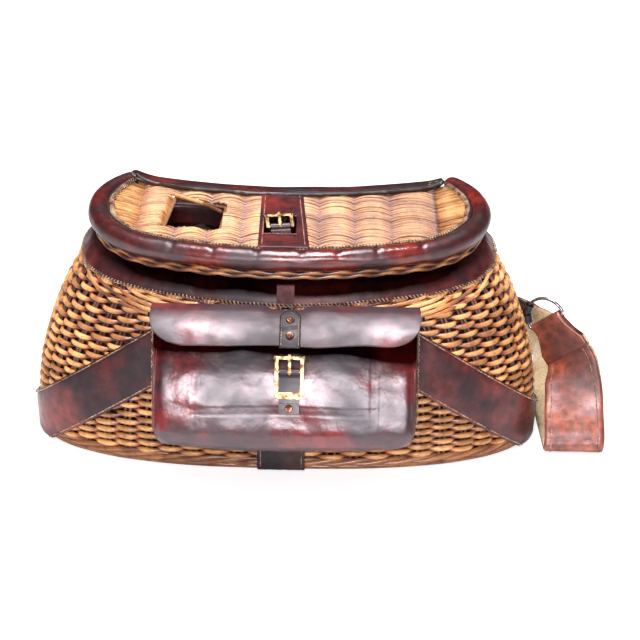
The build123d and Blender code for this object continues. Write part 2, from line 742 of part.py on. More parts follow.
def ring_anchors(place):
    """Two leather loops round the bow, with necks that run back to the basket."""
    way = radians(180 - dee_lean - anchor_rise)
    with BuildPart() as anchors:
        for angle in anchor_angles:
            angle = radians(angle)
            middle = Vector(dee_half_width * cos(angle), dee_corner + dee_half_width * sin(angle))
            along = Vector(-sin(angle), cos(angle)) * (anchor_length / 2)
            reach = Vector(cos(way), sin(way)) * anchor_reach
            tube = Plane(origin=middle - along, z_dir=along)
            with BuildSketch(Plane.XY.offset(-anchor_neck / 2)):
                corners = (middle - along, middle + along, middle + along + reach, middle - along + reach)
                Polygon(*[(corner.X, corner.Y) for corner in corners], align=None)
            extrude(amount=anchor_neck)
            with BuildSketch(tube):
                Circle(anchor_radius)
            extrude(amount=anchor_length)
            with BuildSketch(tube.offset(-3)):
                Circle(anchor_bore)
            extrude(amount=anchor_length + 6, mode=Mode.SUBTRACT)
    with BuildPart() as trimmed:
        add(anchors.part.moved(place.location))
        add(basket_form(fit), mode=Mode.SUBTRACT)
    return trimmed.part


keep(ring_anchors(right_ring), "ring_anchors_right")
keep(ring_anchors(left_ring), "ring_anchors_left")

# ---------------------------------------------------------------- shoulder strap
shoulder_thickness = shoulder_leather + shoulder_felt
eye = wire_radius + fold_clearance
with BuildPart() as strap_end:
    with BuildSketch(Plane.XY.offset(-shoulder_thickness / 2)):
        half = shoulder_end_width / 2
        flare = shoulder_end_flare / 2
        Polygon((-half, 0), (-half, -6), (-flare, -shoulder_end_length), (flare, -shoulder_end_length), (half, -6),
                (half, 0), align=None)
    extrude(amount=shoulder_thickness)
    Cylinder(eye + shoulder_leather, shoulder_end_width, rotation=(0, 90, 0))
    Cylinder(eye, shoulder_end_width + 1, rotation=(0, 90, 0), mode=Mode.SUBTRACT)
keep(strap_end.part.moved(right_ring.location), "shoulder_strap_end_right")
keep(strap_end.part.moved(left_ring.location), "shoulder_strap_end_left")

# Places along the strap: middle, heading, direction across and width.  It hangs from the right ring,
# folds under itself on the ground, runs back, turns on edge behind the basket and climbs to the left ring.
strap_drop = shoulder_end_length + shoulder_end_gap
lying = shoulder_thickness / 2 + 0.4
standing = shoulder_width / 2 + 0.4
strap_places = [
    (right_ring.origin - right_ring.y_dir * strap_drop, -right_ring.y_dir, right_ring.x_dir, shoulder_end_flare),
    ((223.5, -21, 46), (0.15, -0.60, -0.78), (0.93, -0.15, 0.30), shoulder_width),
    ((223, -37, 26), (0, -0.62, -0.78), (1, 0, 0.06), shoulder_width),
    ((222, -46, 13.5), (0, -0.50, -0.87), (1, 0, 0), shoulder_width),
    ((222, -49.5, 7.6), (0, -0.20, -0.98), (1, 0, 0), shoulder_width),
    ((222, -48.5, 4.2), (0, 0.71, -0.71), (1, 0, 0), shoulder_width),
    ((222, -44.5, lying), (0, 1, 0), (1, 0, 0), shoulder_width),
    ((222, -10, lying), (0, 1, 0), (1, 0, 0), shoulder_width),
    ((222, 30, lying + 0.5), (0, 1, 0), (1, 0, 0.03), shoulder_width),
    ((221, 75, 16), (-0.15, 0.98, 0.1), (0.80, 0, 0.60), shoulder_width),
    ((218, 92, 23), (-0.32, 0.94, 0.05), (0.35, 0, 0.94), shoulder_width),
    ((212, 106, standing), (-0.50, 0.86, 0), (0, 0, 1), shoulder_width),
    ((203, 119, standing), (-0.70, 0.71, 0), (0, 0, 1), shoulder_width),
    ((190, 130, standing), (-0.85, 0.50, 0), (0, 0, 1), shoulder_width),
    ((174, 137, standing), (-0.95, 0.30, 0), (0, 0, 1), shoulder_width),
    ((155, 141, standing), (-1, 0.10, 0), (0, 0, 1), shoulder_width),
    ((60, 143, standing), (-1, 0, 0), (0, 0, 1), shoulder_width),
    ((-40, 143, standing), (-1, 0, 0), (0, 0, 1), shoulder_width),
    ((-95, 143, standing + 1), (-1, -0.02, 0.08), (0.05, 0.02, 1), shoulder_width),
    ((-125, 140.5, standing + 6), (-0.90, -0.25, 0.30), (0.20, 0.15, 0.97), shoulder_width),
    ((-145, 132.5, standing + 16), (-0.62, -0.55, 0.55), (0.18, 0.40, 0.90), shoulder_width),
    ((-157, 121.5, standing + 28), (-0.25, -0.68, 0.69), (0.10, 0.62, 0.78), 44.0),
    (left_ring.origin - left_ring.y_dir * strap_drop, left_ring.y_dir, left_ring.x_dir, shoulder_end_flare),
]


def shoulder_layer(low, high, narrower):
    """Layer of the shoulder strap between two heights over its lining side."""
    with BuildPart() as layer:
        for middle, heading, sideways, width in strap_places:
            with BuildSketch(Plane(origin=middle, x_dir=sideways, z_dir=heading)):
                with Locations((0, low - shoulder_thickness / 2)):
                    Rectangle(width - narrower, high - low, align=(Align.CENTER, Align.MIN))
        loft(ruled=True)
    return layer.part


keep(shoulder_layer(shoulder_felt + fit, shoulder_thickness, 0), "shoulder_strap")
keep(shoulder_layer(0, shoulder_felt, 1.5), "shoulder_strap_lining")
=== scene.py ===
from math import ceil, copysign, cos, exp, hypot, pi, radians, sin
from random import Random

import bmesh
import bpy
from mathutils import Matrix, Vector, noise


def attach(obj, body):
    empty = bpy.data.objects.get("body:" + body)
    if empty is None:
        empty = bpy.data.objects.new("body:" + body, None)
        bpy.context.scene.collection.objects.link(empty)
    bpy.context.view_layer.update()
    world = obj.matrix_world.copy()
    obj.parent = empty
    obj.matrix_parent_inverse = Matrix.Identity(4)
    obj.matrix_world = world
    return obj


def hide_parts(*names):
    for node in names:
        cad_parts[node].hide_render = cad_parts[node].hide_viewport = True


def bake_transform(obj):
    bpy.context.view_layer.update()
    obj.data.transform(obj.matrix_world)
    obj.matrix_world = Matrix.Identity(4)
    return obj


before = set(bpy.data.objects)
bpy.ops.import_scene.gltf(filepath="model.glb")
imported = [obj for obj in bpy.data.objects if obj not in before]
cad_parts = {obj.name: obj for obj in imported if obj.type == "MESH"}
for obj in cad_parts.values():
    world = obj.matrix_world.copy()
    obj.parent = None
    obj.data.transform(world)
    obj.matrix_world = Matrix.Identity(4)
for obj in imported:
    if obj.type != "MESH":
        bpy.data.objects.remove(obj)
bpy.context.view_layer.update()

# The camera stands in front of the pouch and well above the lid. It is turned a degree about its
# own view line.
aim = Vector((0.025, -0.014, 0.0912))
camera_distance = 1.15
elevation, roll = radians(27), radians(1)
camera = bpy.data.objects.new("camera", bpy.data.cameras.new("camera"))
camera.data.sensor_width = 36
camera.data.lens = 84.1
camera.location = aim + camera_distance * Vector((0, -cos(elevation), sin(elevation)))
look = (aim - camera.location).to_track_quat("-Z", "Y").to_matrix()
camera.rotation_euler = (look @ Matrix.Rotation(roll, 3, "Z")).to_euler()
bpy.context.collection.objects.link(camera)
bpy.context.scene.camera = camera
bpy.context.scene.view_settings.view_transform = "Standard"

# The creel stands on a sheet of white paper. A soft lamp hangs straight over it and a weaker one
# stands in front. The front lamp only puts a sheen on the leather, and the sky is a weak white.
def fresh_finish(name):
    """New material, its nodes, the call that links them, and its skin: the surface that the light meets."""
    material = bpy.data.materials.new(name)
    material.use_nodes = True
    nodes, link = material.node_tree.nodes, material.node_tree.links.new
    return material, nodes, link, nodes["Principled BSDF"]


def sum_up(nodes, link, operation, *terms):
    """Result of a sum over terms, each a number or an output."""
    node = nodes.new("ShaderNodeMath")
    node.operation = operation
    for socket, term in zip(node.inputs, terms):
        if isinstance(term, float):
            socket.default_value = term
        else:
            link(term, socket)
    return node.outputs["Value"]


bpy.ops.mesh.primitive_plane_add(size=12)
paper_sheet = bpy.context.object
paper_sheet.name = "paper_sheet"
paper, nodes, link, skin = fresh_finish("paper")
skin.inputs["Base Color"].default_value = (0.9, 0.9, 0.9, 1)
skin.inputs["Roughness"].default_value = 0.9
skin.inputs["Specular IOR Level"].default_value = 0.0
skin.inputs["Emission Color"].default_value = (1, 1, 1, 1)
seen = nodes.new("ShaderNodeLightPath").outputs["Is Camera Ray"]
link(sum_up(nodes, link, "MULTIPLY", seen, 0.6), skin.inputs["Emission Strength"])
paper_sheet.data.materials.append(paper)

# the sky's strength, and what is added where it is seen straight or in something shiny
sky_glow, sky_seen, sky_mirrored = 0.4, 0.8, -0.36
sky = bpy.data.worlds.new("sky")
sky.use_nodes = True
nodes, link = sky.node_tree.nodes, sky.node_tree.links.new
nodes["Background"].inputs["Color"].default_value = (1, 1, 1, 1)
path = nodes.new("ShaderNodeLightPath").outputs
brightness = sum_up(nodes, link, "MULTIPLY_ADD", path["Is Camera Ray"], sky_seen, sky_glow)
brightness = sum_up(nodes, link, "MULTIPLY_ADD", path["Is Glossy Ray"], sky_mirrored, brightness)
link(brightness, nodes["Background"].inputs["Strength"])
bpy.context.scene.world = sky

lamp_colour = (1.0, 0.93, 1.0)
lamp_aim = Vector((0, 0, 0.08))
for lamp_name, place, power, size in (
    ("high_lamp", (-0.02, 0.02, 1.60), 25, 0.6),
    ("fill_lamp", (-0.10, -1.30, 0.95), 9, 0.5),
    ("front_lamp", (0.16, -1.60, 0.95), 12, 0.7),
):
    lamp = bpy.data.objects.new(lamp_name, bpy.data.lights.new(lamp_name, "AREA"))
    lamp.data.energy = power
    lamp.data.size = size
    lamp.data.color = lamp_colour
    lamp.location = place
    lamp.rotation_euler = (lamp_aim - lamp.location).to_track_quat("-Z", "Y").to_euler()
    lamp.visible_diffuse = lamp_name != "front_lamp"
    bpy.context.collection.objects.link(lamp)

# Basket wall: peeled willow rods woven over pairs of thin stakes, each row passing in front of the
# pairs that the row below passes behind. Old varnish has gone orange. Where a rod dives behind its
# neighbour it is painted darker and greyer, as shade, and its face is painted lighter, as a highlight.
foot_half_width, mouth_half_width = 0.194, 0.151
foot_front, mouth_front = 0.085, 0.051
foot_back, mouth_back = 0.089, 0.086
foot_widest, mouth_widest = -0.006, 0.029       # how far back the outline is widest
foot_hollow, mouth_hollow = 0.016, 0.022        # depth of the hollow back, which lies against the hip
hollow_reach = 0.72                             # share of the half width that the hollow takes
belly = 0.0035
basket_height = 0.1415
mouth_tilt = radians(5)


def unit_oval(angle, power):
    """Point of a unit superellipse."""
    c, s = cos(angle), sin(angle)
    return copysign(abs(c) ** (2 / power), c), copysign(abs(s) ** (2 / power), s)


def basket_point(level, angle, grow):
    """Point on the basket's skin moved outward by grow, at a share of its height."""
    low = max(level, 0.0)
    half_width = foot_half_width + (mouth_half_width - foot_half_width) * low**2.4 + belly * sin(pi * low)
    front = foot_front + (mouth_front - foot_front) * low**1.9 + belly * sin(pi * low)
    back = foot_back + (mouth_back - foot_back) * low
    widest = foot_widest + (mouth_widest - foot_widest) * low**1.8
    hollow = foot_hollow + (mouth_hollow - foot_hollow) * low
    half_width, front, back = half_width + grow, front + grow, back + grow
    if sin(angle) < 0:
        x, y = unit_oval(angle, 2.5 - 0.1 * low)
        x, y = half_width * x, widest + (front + widest) * y
    else:
        x, y = unit_oval(angle, 3.6)
        x, y = half_width * x, widest + (back - widest) * y
        if abs(x) < hollow_reach * half_width:
            y -= hollow * (0.5 + 0.5 * cos(pi * x / (hollow_reach * half_width)))
    tilt = mouth_tilt * level
    return Vector((x, y * cos(tilt), basket_height * level + y * sin(tilt)))


def even_angles(level, count):
    """Angles that divide the outline at a height into equal lengths, from the middle of the front."""
    steps = 2880
    ring = [basket_point(level, -pi / 2 + 2 * pi * i / steps, 0) for i in range(steps + 1)]
    run = [0.0]
    for a, b in zip(ring, ring[1:]):
        run.append(run[-1] + (b - a).length)
    found, at = [], 0
    for i in range(count):
        goal = run[-1] * i / count
        while run[at + 1] < goal:
            at += 1
        share = (goal - run[at]) / (run[at + 1] - run[at])
        found.append(-pi / 2 + 2 * pi * (at + share) / steps)
    return found


def new_piece(name, mesh, material):
    """Object of a mesh with one material."""
    piece = bpy.data.objects.new(name, mesh)
    bpy.context.collection.objects.link(piece)
    if material:
        mesh.materials.append(material)
    return piece


def rod_tree(name, material):
    """Node tree that turns drawn lines into round rods: each point's thick is its radius."""
    tree = bpy.data.node_groups.new(name, "GeometryNodeTree")
    tree.interface.new_socket("Geometry", in_out="INPUT", socket_type="NodeSocketGeometry")
    sides = tree.interface.new_socket("Sides", in_out="INPUT", socket_type="NodeSocketInt")
    sides.default_value = 6
    tree.interface.new_socket("Geometry", in_out="OUTPUT", socket_type="NodeSocketGeometry")
    lines = tree.nodes.new("NodeGroupInput")
    curves = tree.nodes.new("GeometryNodeMeshToCurve")
    thick = tree.nodes.new("GeometryNodeInputNamedAttribute")
    thick.inputs["Name"].default_value = "thick"
    radius = tree.nodes.new("GeometryNodeSetCurveRadius")
    ring = tree.nodes.new("GeometryNodeCurvePrimitiveCircle")
    ring.inputs["Radius"].default_value = 1.0
    tube = tree.nodes.new("GeometryNodeCurveToMesh")
    tube.inputs["Fill Caps"].default_value = True
    smooth = tree.nodes.new("GeometryNodeSetShadeSmooth")
    real = tree.nodes.new("GeometryNodeRealizeInstances")
    finish = tree.nodes.new("GeometryNodeSetMaterial")
    finish.inputs["Material"].default_value = material
    done = tree.nodes.new("NodeGroupOutput")
    link = tree.links.new
    link(lines.outputs["Geometry"], curves.inputs["Mesh"])
    link(curves.outputs["Curve"], radius.inputs["Curve"])
    link(thick.outputs["Attribute"], radius.inputs["Radius"])
    link(lines.outputs["Sides"], ring.inputs["Resolution"])
    link(radius.outputs["Curve"], tube.inputs["Curve"])
    link(ring.outputs["Curve"], tube.inputs["Profile Curve"])
    if "Scale" in tube.inputs:
        held = tree.nodes.new("GeometryNodeInputNamedAttribute")
        held.inputs["Name"].default_value = "thick"
        link(held.outputs["Attribute"], tube.inputs["Scale"])
    link(tube.outputs["Mesh"], smooth.inputs["Geometry"])
    link(smooth.outputs["Geometry"], real.inputs["Geometry"])
    link(real.outputs["Geometry"], finish.inputs["Geometry"])
    link(finish.outputs["Geometry"], done.inputs["Geometry"])
    return tree


def grow_rods(name, lines, material, sides=6):
    """Rods along lines of (point, radius, shown) triples, each with whether it closes on itself.

    The third of each triple is 1 where a rod lies on the outside and 0 where another one covers it; the
    willow finish paints shade where it is low and a highlight where it is high.
    """
    mesh = bpy.data.meshes.new(name)
    points, edges, thick, outside_lit, tone, along = [], [], [], [], [], []
    for number, (line, closed) in enumerate(lines):
        first, travelled = len(points), 0.0
        shade = Random(number * 7 + len(name)).random()
        for i, (point, radius, out) in enumerate(line):
            if i:
                travelled += (point - points[-1]).length
                edges.append((first + i - 1, first + i))
            points.append(point)
            thick.append(radius)
            outside_lit.append(out)
            tone.append(shade)
            along.append(travelled)
        if closed:
            edges.append((len(points) - 1, first))
    mesh.from_pydata(points, edges, [])
    for label, values in (("thick", thick), ("outside_lit", outside_lit), ("tone", tone), ("along", along)):
        mesh.attributes.new(label, "FLOAT", "POINT").data.foreach_set("value", values)
    drawn = new_piece(name + "_lines", mesh, None)
    weave = drawn.modifiers.new("rods", "NODES")
    weave.node_group = rod_tree(name + "_rods", material)
    for item in weave.node_group.interface.items_tree:
        if item.item_type == "SOCKET" and item.in_out == "INPUT" and item.name == "Sides":
            weave[item.identifier] = sides
    bpy.context.view_layer.update()
    made = bpy.data.meshes.new_from_object(drawn.evaluated_get(bpy.context.evaluated_depsgraph_get()))
    made.name = name
    bpy.data.objects.remove(drawn)
    return new_piece(name, made, None)


def paint(red, green, blue):
    """Linear colour of a paint chip, from 0 to 255 each."""
    chip = (red, green, blue)
    return tuple(((v / 255 + 0.055) / 1.055) ** 2.4 if v > 10 else v / 3294.6 for v in chip) + (1,)


def ramp(nodes, stops):
    """Colour ramp with the given (place, colour) stops."""
    node = nodes.new("ShaderNodeValToRGB")
    while len(node.color_ramp.elements) < len(stops):
        node.color_ramp.elements.new(0.5)
    for element, (place, colour) in zip(node.color_ramp.elements, stops):
        element.position = place
        element.color = colour
    return node


def speckle(nodes, link, source, scale, detail=4.0, stretch=(1, 1, 1)):
    """Noise of a size, read from a coordinate output, drawn out along some axes."""
    place = nodes.new("ShaderNodeMapping")
    place.inputs["Scale"].default_value = stretch
    grain = nodes.new("ShaderNodeTexNoise")
    grain.inputs["Scale"].default_value = scale
    grain.inputs["Detail"].default_value = detail
    link(source, place.inputs["Vector"])
    link(place.outputs["Vector"], grain.inputs["Vector"])
    return grain.outputs["Fac"]


def blend_colours(nodes, link, how, share, first, second):
    """Mix of two colour outputs; share is a number or an output."""
    mix = nodes.new("ShaderNodeMix")
    mix.data_type = "RGBA"
    mix.blend_type = how
    if isinstance(share, float):
        mix.inputs[0].default_value = share
    else:
        link(share, mix.inputs[0])
    link(first, mix.inputs[6])
    link(second, mix.inputs[7])
    return mix.outputs[2]


def willow_finish(name, hidden_shade, crossing, side, face, pale, dark):
    """Varnished willow: painted shade, dark and grey, where a rod dives behind its neighbour, and a painted
    highlight on its honey face.
    """
    material, nodes, link, skin = fresh_finish(name)
    reads = {}
    for label in ("outside_lit", "tone", "along"):
        reads[label] = nodes.new("ShaderNodeAttribute")
        reads[label].attribute_name = label
    coordinates = nodes.new("ShaderNodeTexCoord").outputs["Object"]
    # painted light: the darkest colour is painted shade where a rod lies behind another, the lightest a
    # painted highlight on its face
    body = ramp(nodes, ((0.0, hidden_shade), (0.42, crossing), (0.68, side), (0.92, face)))
    link(reads["outside_lit"].outputs["Fac"], body.inputs["Fac"])
    grain_place = nodes.new("ShaderNodeCombineXYZ")
    link(reads["along"].outputs["Fac"], grain_place.inputs["X"])
    link(reads["tone"].outputs["Fac"], grain_place.inputs["Y"])
    streak = speckle(nodes, link, grain_place.outputs["Vector"], 1.0, 3.0, (90, 60, 1))
    patch = speckle(nodes, link, coordinates, 28.0, 3.0)
    fleck = speckle(nodes, link, coordinates, 420.0, 3.0)
    plain = (1, 1, 1, 1)
    colour = body.outputs["Color"]
    for strength, source, stops in (
        (0.9, reads["tone"].outputs["Fac"], ((0.0, dark), (0.35, plain), (0.7, plain), (1.0, pale))),
        (0.8, streak, ((0.30, dark), (0.52, plain), (0.72, pale))),
        (0.8, patch, ((0.32, dark), (0.55, plain), (0.75, pale))),
        (0.55, fleck, ((0.30, dark), (0.46, plain))),
    ):
        stain = ramp(nodes, stops)
        link(source, stain.inputs["Fac"])
        colour = blend_colours(nodes, link, "MULTIPLY", strength, colour, stain.outputs["Color"])
    link(colour, skin.inputs["Base Color"])
    gloss = ramp(nodes, ((0.3, (0.26, 0.26, 0.26, 1)), (0.7, (0.5, 0.5, 0.5, 1))))
    link(streak, gloss.inputs["Fac"])
    link(gloss.outputs["Color"], skin.inputs["Roughness"])
    bump = nodes.new("ShaderNodeBump")
    bump.inputs["Strength"].default_value = 0.35
    bump.inputs["Distance"].default_value = 0.0004
    link(fleck, bump.inputs["Height"])
    link(bump.outputs["Normal"], skin.inputs["Normal"])
    skin.inputs["Coat Weight"].default_value = 0.8
    skin.inputs["Coat Roughness"].default_value = 0.2
    return material


wall_willow = willow_finish(
    "wall_willow",
    paint(64, 38, 28), paint(140, 92, 74), paint(222, 140, 70), paint(255, 196, 126),
    (1.25, 1.25, 1.22, 1), (0.50, 0.38, 0.32, 1),
)

rod_thick, stake_thick = 0.00170, 0.00125        # radii
row_pitch = 0.00328
row_count = 38
first_row = 0.0112
stake_pairs = 56
stake_steps = 8              # stations of a row from one pair of stakes to the next
stake_apart = 0.0125         # turn round the basket from a pair's middle to each of its stakes
wall_middle = -0.0037        # from the basket's skin to the middle of the weave
rod_swing = 0.0020           # in and out of the stakes
row_drift, row_lump = 0.0014, 0.0004        # unevenness of a row: up and down, and in and out

wall_angles = even_angles(0.5, stake_pairs * stake_steps)


def wall_row(row):
    """One woven row, in front of every other pair of stakes."""
    line = []
    for i, angle in enumerate(wall_angles):
        turn = cos(pi * i / stake_steps + pi * row)
        wave = copysign(abs(turn) ** 0.55, turn)
        height = first_row + row * row_pitch
        drift = noise.noise((3.1 * cos(angle), 3.1 * sin(angle), row * 0.22))
        swell = noise.noise((9 * cos(angle), 9 * sin(angle), row * 2.3 + 40))
        level = (height + row_drift * drift) / basket_height
        point = basket_point(level, angle, wall_middle + rod_swing * wave + row_lump * swell)
        swollen = 1 + 0.14 * swell + 0.24 * max(0.0, wave) ** 2 + 0.12 * max(0.0, -wave) ** 2
        line.append((point, rod_thick * swollen, 0.5 + 0.5 * wave))
    return line, True


half = row_count // 2
for label, rows in (("low", range(0, half)), ("high", range(half, row_count))):
    weavers = grow_rods("wall_weavers_" + label, [wall_row(row) for row in rows], wall_willow)
    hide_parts("basket_wall")
    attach(weavers, "basket")

stakes = []
for pair in range(stake_pairs):
    for side in (-1, 1):
        angle = wall_angles[pair * stake_steps] + side * stake_apart
        line = []
        for i in range(15):
            level = 0.02 + 0.97 * i / 14
            # the stakes are painted in shade, as they lie behind the rows
            line.append((basket_point(level, angle, wall_middle), stake_thick, 0.4))
        stakes.append((line, False))
wall_stakes = grow_rods("wall_stakes", stakes, wall_willow)
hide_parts("basket_wall")
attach(wall_stakes, "basket")


def closed_ring(name, rings, material, closed=True):
    """Smooth tube through rings of points, each a closed section; unless closed it has flat ends."""
    mesh = bpy.data.meshes.new(name)
    count = len(rings[0])
    points = [point for ring in rings for point in ring]
    faces = []
    for i in range(len(rings) if closed else len(rings) - 1):
        j = (i + 1) % len(rings)
        for k in range(count):
            m = (k + 1) % count
            faces.append((i * count + k, i * count + m, j * count + m, j * count + k))
    if not closed:
        faces.append(tuple(reversed(range(count))))
        faces.append(tuple(range((len(rings) - 1) * count, len(rings) * count)))
    mesh.from_pydata(points, [], faces)
    face_outward(mesh)
    piece = new_piece(name, mesh, material)
    for face in mesh.polygons:
        face.use_smooth = True
    return piece


def face_outward(mesh):
    """Turn all faces of a closed mesh outward."""
    shape = bmesh.new()
    shape.from_mesh(mesh)
    bmesh.ops.recalc_face_normals(shape, faces=shape.faces)
    shape.to_mesh(mesh)
    shape.free()


# A closed shell inside the rods is a dark sheet of painted shade: it carries none of the rods'
# attributes, so the willow finish gives it its darkest colour, and the gaps between the rows show dark.
shade_shell_low, shade_shell_tall = 0.03, 0.945        # shares of the basket's height
shade_shell_outer, shade_shell_inner = -0.0060, -0.0068
rings = []
for angle in even_angles(0.5, 360):
    rise = [shade_shell_tall * i / 24 for i in range(25)]
    outer = [basket_point(shade_shell_low + up, angle, shade_shell_outer) for up in rise]
    inner = [basket_point(shade_shell_low + shade_shell_tall - up, angle, shade_shell_inner) for up in rise]
    rings.append(outer + inner)
wall_shade_shell = closed_ring("wall_shade_shell", rings, wall_willow)
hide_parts("basket_wall")
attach(wall_shade_shell, "basket")

# The wall's last rods are drawn out long on both sides of the flap and lie aslant under the collar.
long_rod_top, long_rod_fall = 0.1330, 0.0175
long_rods = []
for side in (-1, 1):
    for number in range(6):
        dice = Random(number * 5 + 60 + side)
        line = []
        for i in range(41):
            share = i / 40
            turn = radians(14 + number * 9.5 + 44 * share)
            angle = -pi / 2 + side * (radians(92) - turn)
            height = long_rod_top - long_rod_fall * share**0.9 + 0.0006 * sin(9 * share + number)
            sway = sin(7 * share + number * 1.9)
            out = -0.0008 + 0.0008 * sway - 0.0030 * (2 * abs(share - 0.5)) ** 6
            point = basket_point(height / basket_height, angle, out)
            # painted light: lighter where a rod sways out, darker where it sways in
            line.append((point, 0.0014 + 0.0003 * dice.random(), 0.72 + 0.28 * sway))
        long_rods.append((line, False))
long_rods = grow_rods("wall_long_rods", long_rods, wall_willow, 8)
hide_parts("basket_wall")
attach(long_rods, "basket")

# Foot of the basket: three thicker rods of willow laid round each other above three flat rings of
# rods, all tucked under the first rows of the wall.
foot_thick = 0.0020        # radius of a foot rod
foot_turns = 14            # of the three rods round each other
foot_rods = []
for strand in range(3):
    line = []
    for i, angle in enumerate(wall_angles):
        turn = 2 * pi * (foot_turns * i / len(wall_angles) + strand / 3)
        level = (0.0062 + 0.0022 * sin(turn)) / basket_height
        point = basket_point(level, angle, -0.0030 + 0.0014 * cos(turn))
        # painted light: lighter where a foot rod turns outward, darker where it turns in
        line.append((point, foot_thick, 0.75 + 0.25 * cos(turn)))
    foot_rods.append((line, True))
for number, depth in enumerate((-0.0022, -0.0064, -0.0106)):
    line = []
    for angle in wall_angles:
        drift = noise.noise((6 * cos(angle), 6 * sin(angle), number * 5.1))
        level = (0.0024 + 0.0003 * drift) / basket_height
        # painted light that follows each ring's rise and fall
        line.append((basket_point(level, angle, depth), foot_thick, 0.78 + 0.2 * drift))
    foot_rods.append((line, True))
# The foot's willow is painted darker than the wall's, as shade at the bottom of the basket.
shaded_foot_willow = willow_finish(
    "shaded_foot_willow",
    paint(60, 38, 30), paint(104, 72, 60), paint(150, 96, 58), paint(186, 126, 76),
    (1.2, 1.18, 1.12, 1), (0.46, 0.36, 0.32, 1),
)
foot_rope = grow_rods("foot_rope", foot_rods, shaded_foot_willow, 8)
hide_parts("foot_border")
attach(foot_rope, "basket")

# Floor of the basket: a plain weave of willow from end to end over sticks that run front to back,
# held inside the foot.
floor_height = 0.0030
floor_pitch, floor_thick = 0.0034, 0.0016
stick_apart, stick_thick = 0.026, 0.0019
floor_edge = [basket_point(0.02, -pi / 2 + 2 * pi * i / 240, -0.010) for i in range(240)]


def spans(y, edge):
    """Stretches of a line of constant y that lie inside a closed outline of points."""
    cuts = []
    for a, b in zip(edge, edge[1:] + edge[:1]):
        if (a.y - y) * (b.y - y) < 0:
            cuts.append(a.x + (b.x - a.x) * (y - a.y) / (b.y - a.y))
    cuts.sort()
    return list(zip(cuts[0::2], cuts[1::2]))


floor_rods = []
for row in range(52):
    y = -0.078 + floor_pitch * row
    for left, right in spans(y, floor_edge):
        count = max(2, int((right - left) / 0.0042))
        line = []
        for i in range(count + 1):
            x = left + (right - left) * i / count
            wave = cos(pi * (x / stick_apart + row))
            # painted light that follows the rod's rise and fall over the sticks
            line.append((Vector((x, y, floor_height + 0.0013 * wave)), floor_thick, 0.5 - 0.45 * wave))
        floor_rods.append((line, False))
floor_flip = [Vector((point.y, point.x, 0)) for point in floor_edge]
for stick in range(-7, 8):
    x = stick_apart * stick
    for front, back in spans(x, floor_flip):
        depths = [front + (back - front) * i / 8 for i in range(9)]
        # the sticks are painted in half shade
        floor_rods.append(([(Vector((x, y, floor_height)), stick_thick, 0.6) for y in depths], False))
floor_weave = grow_rods("floor_weave", floor_rods, wall_willow)
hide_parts("base_panel")
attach(floor_weave, "basket")

# Mouth of the basket: the wall's last rods are laid down into a border, and a leather collar is
# folded over it and whip-stitched with pale thread along its lower edge. The hinge's short rods and
# their keepers have the border's finish.
mouth_willow = wall_willow.copy()
mouth_willow.name = "mouth_willow"


def bump_on(nodes, link, height, strength, depth, under=None):
    """Normal of small bumps of a depth on what lies under them."""
    bump = nodes.new("ShaderNodeBump")
    bump.inputs["Strength"].default_value = strength
    bump.inputs["Distance"].default_value = depth
    link(height, bump.inputs["Height"])
    if under:
        link(under, bump.inputs["Normal"])
    return bump.outputs["Normal"]


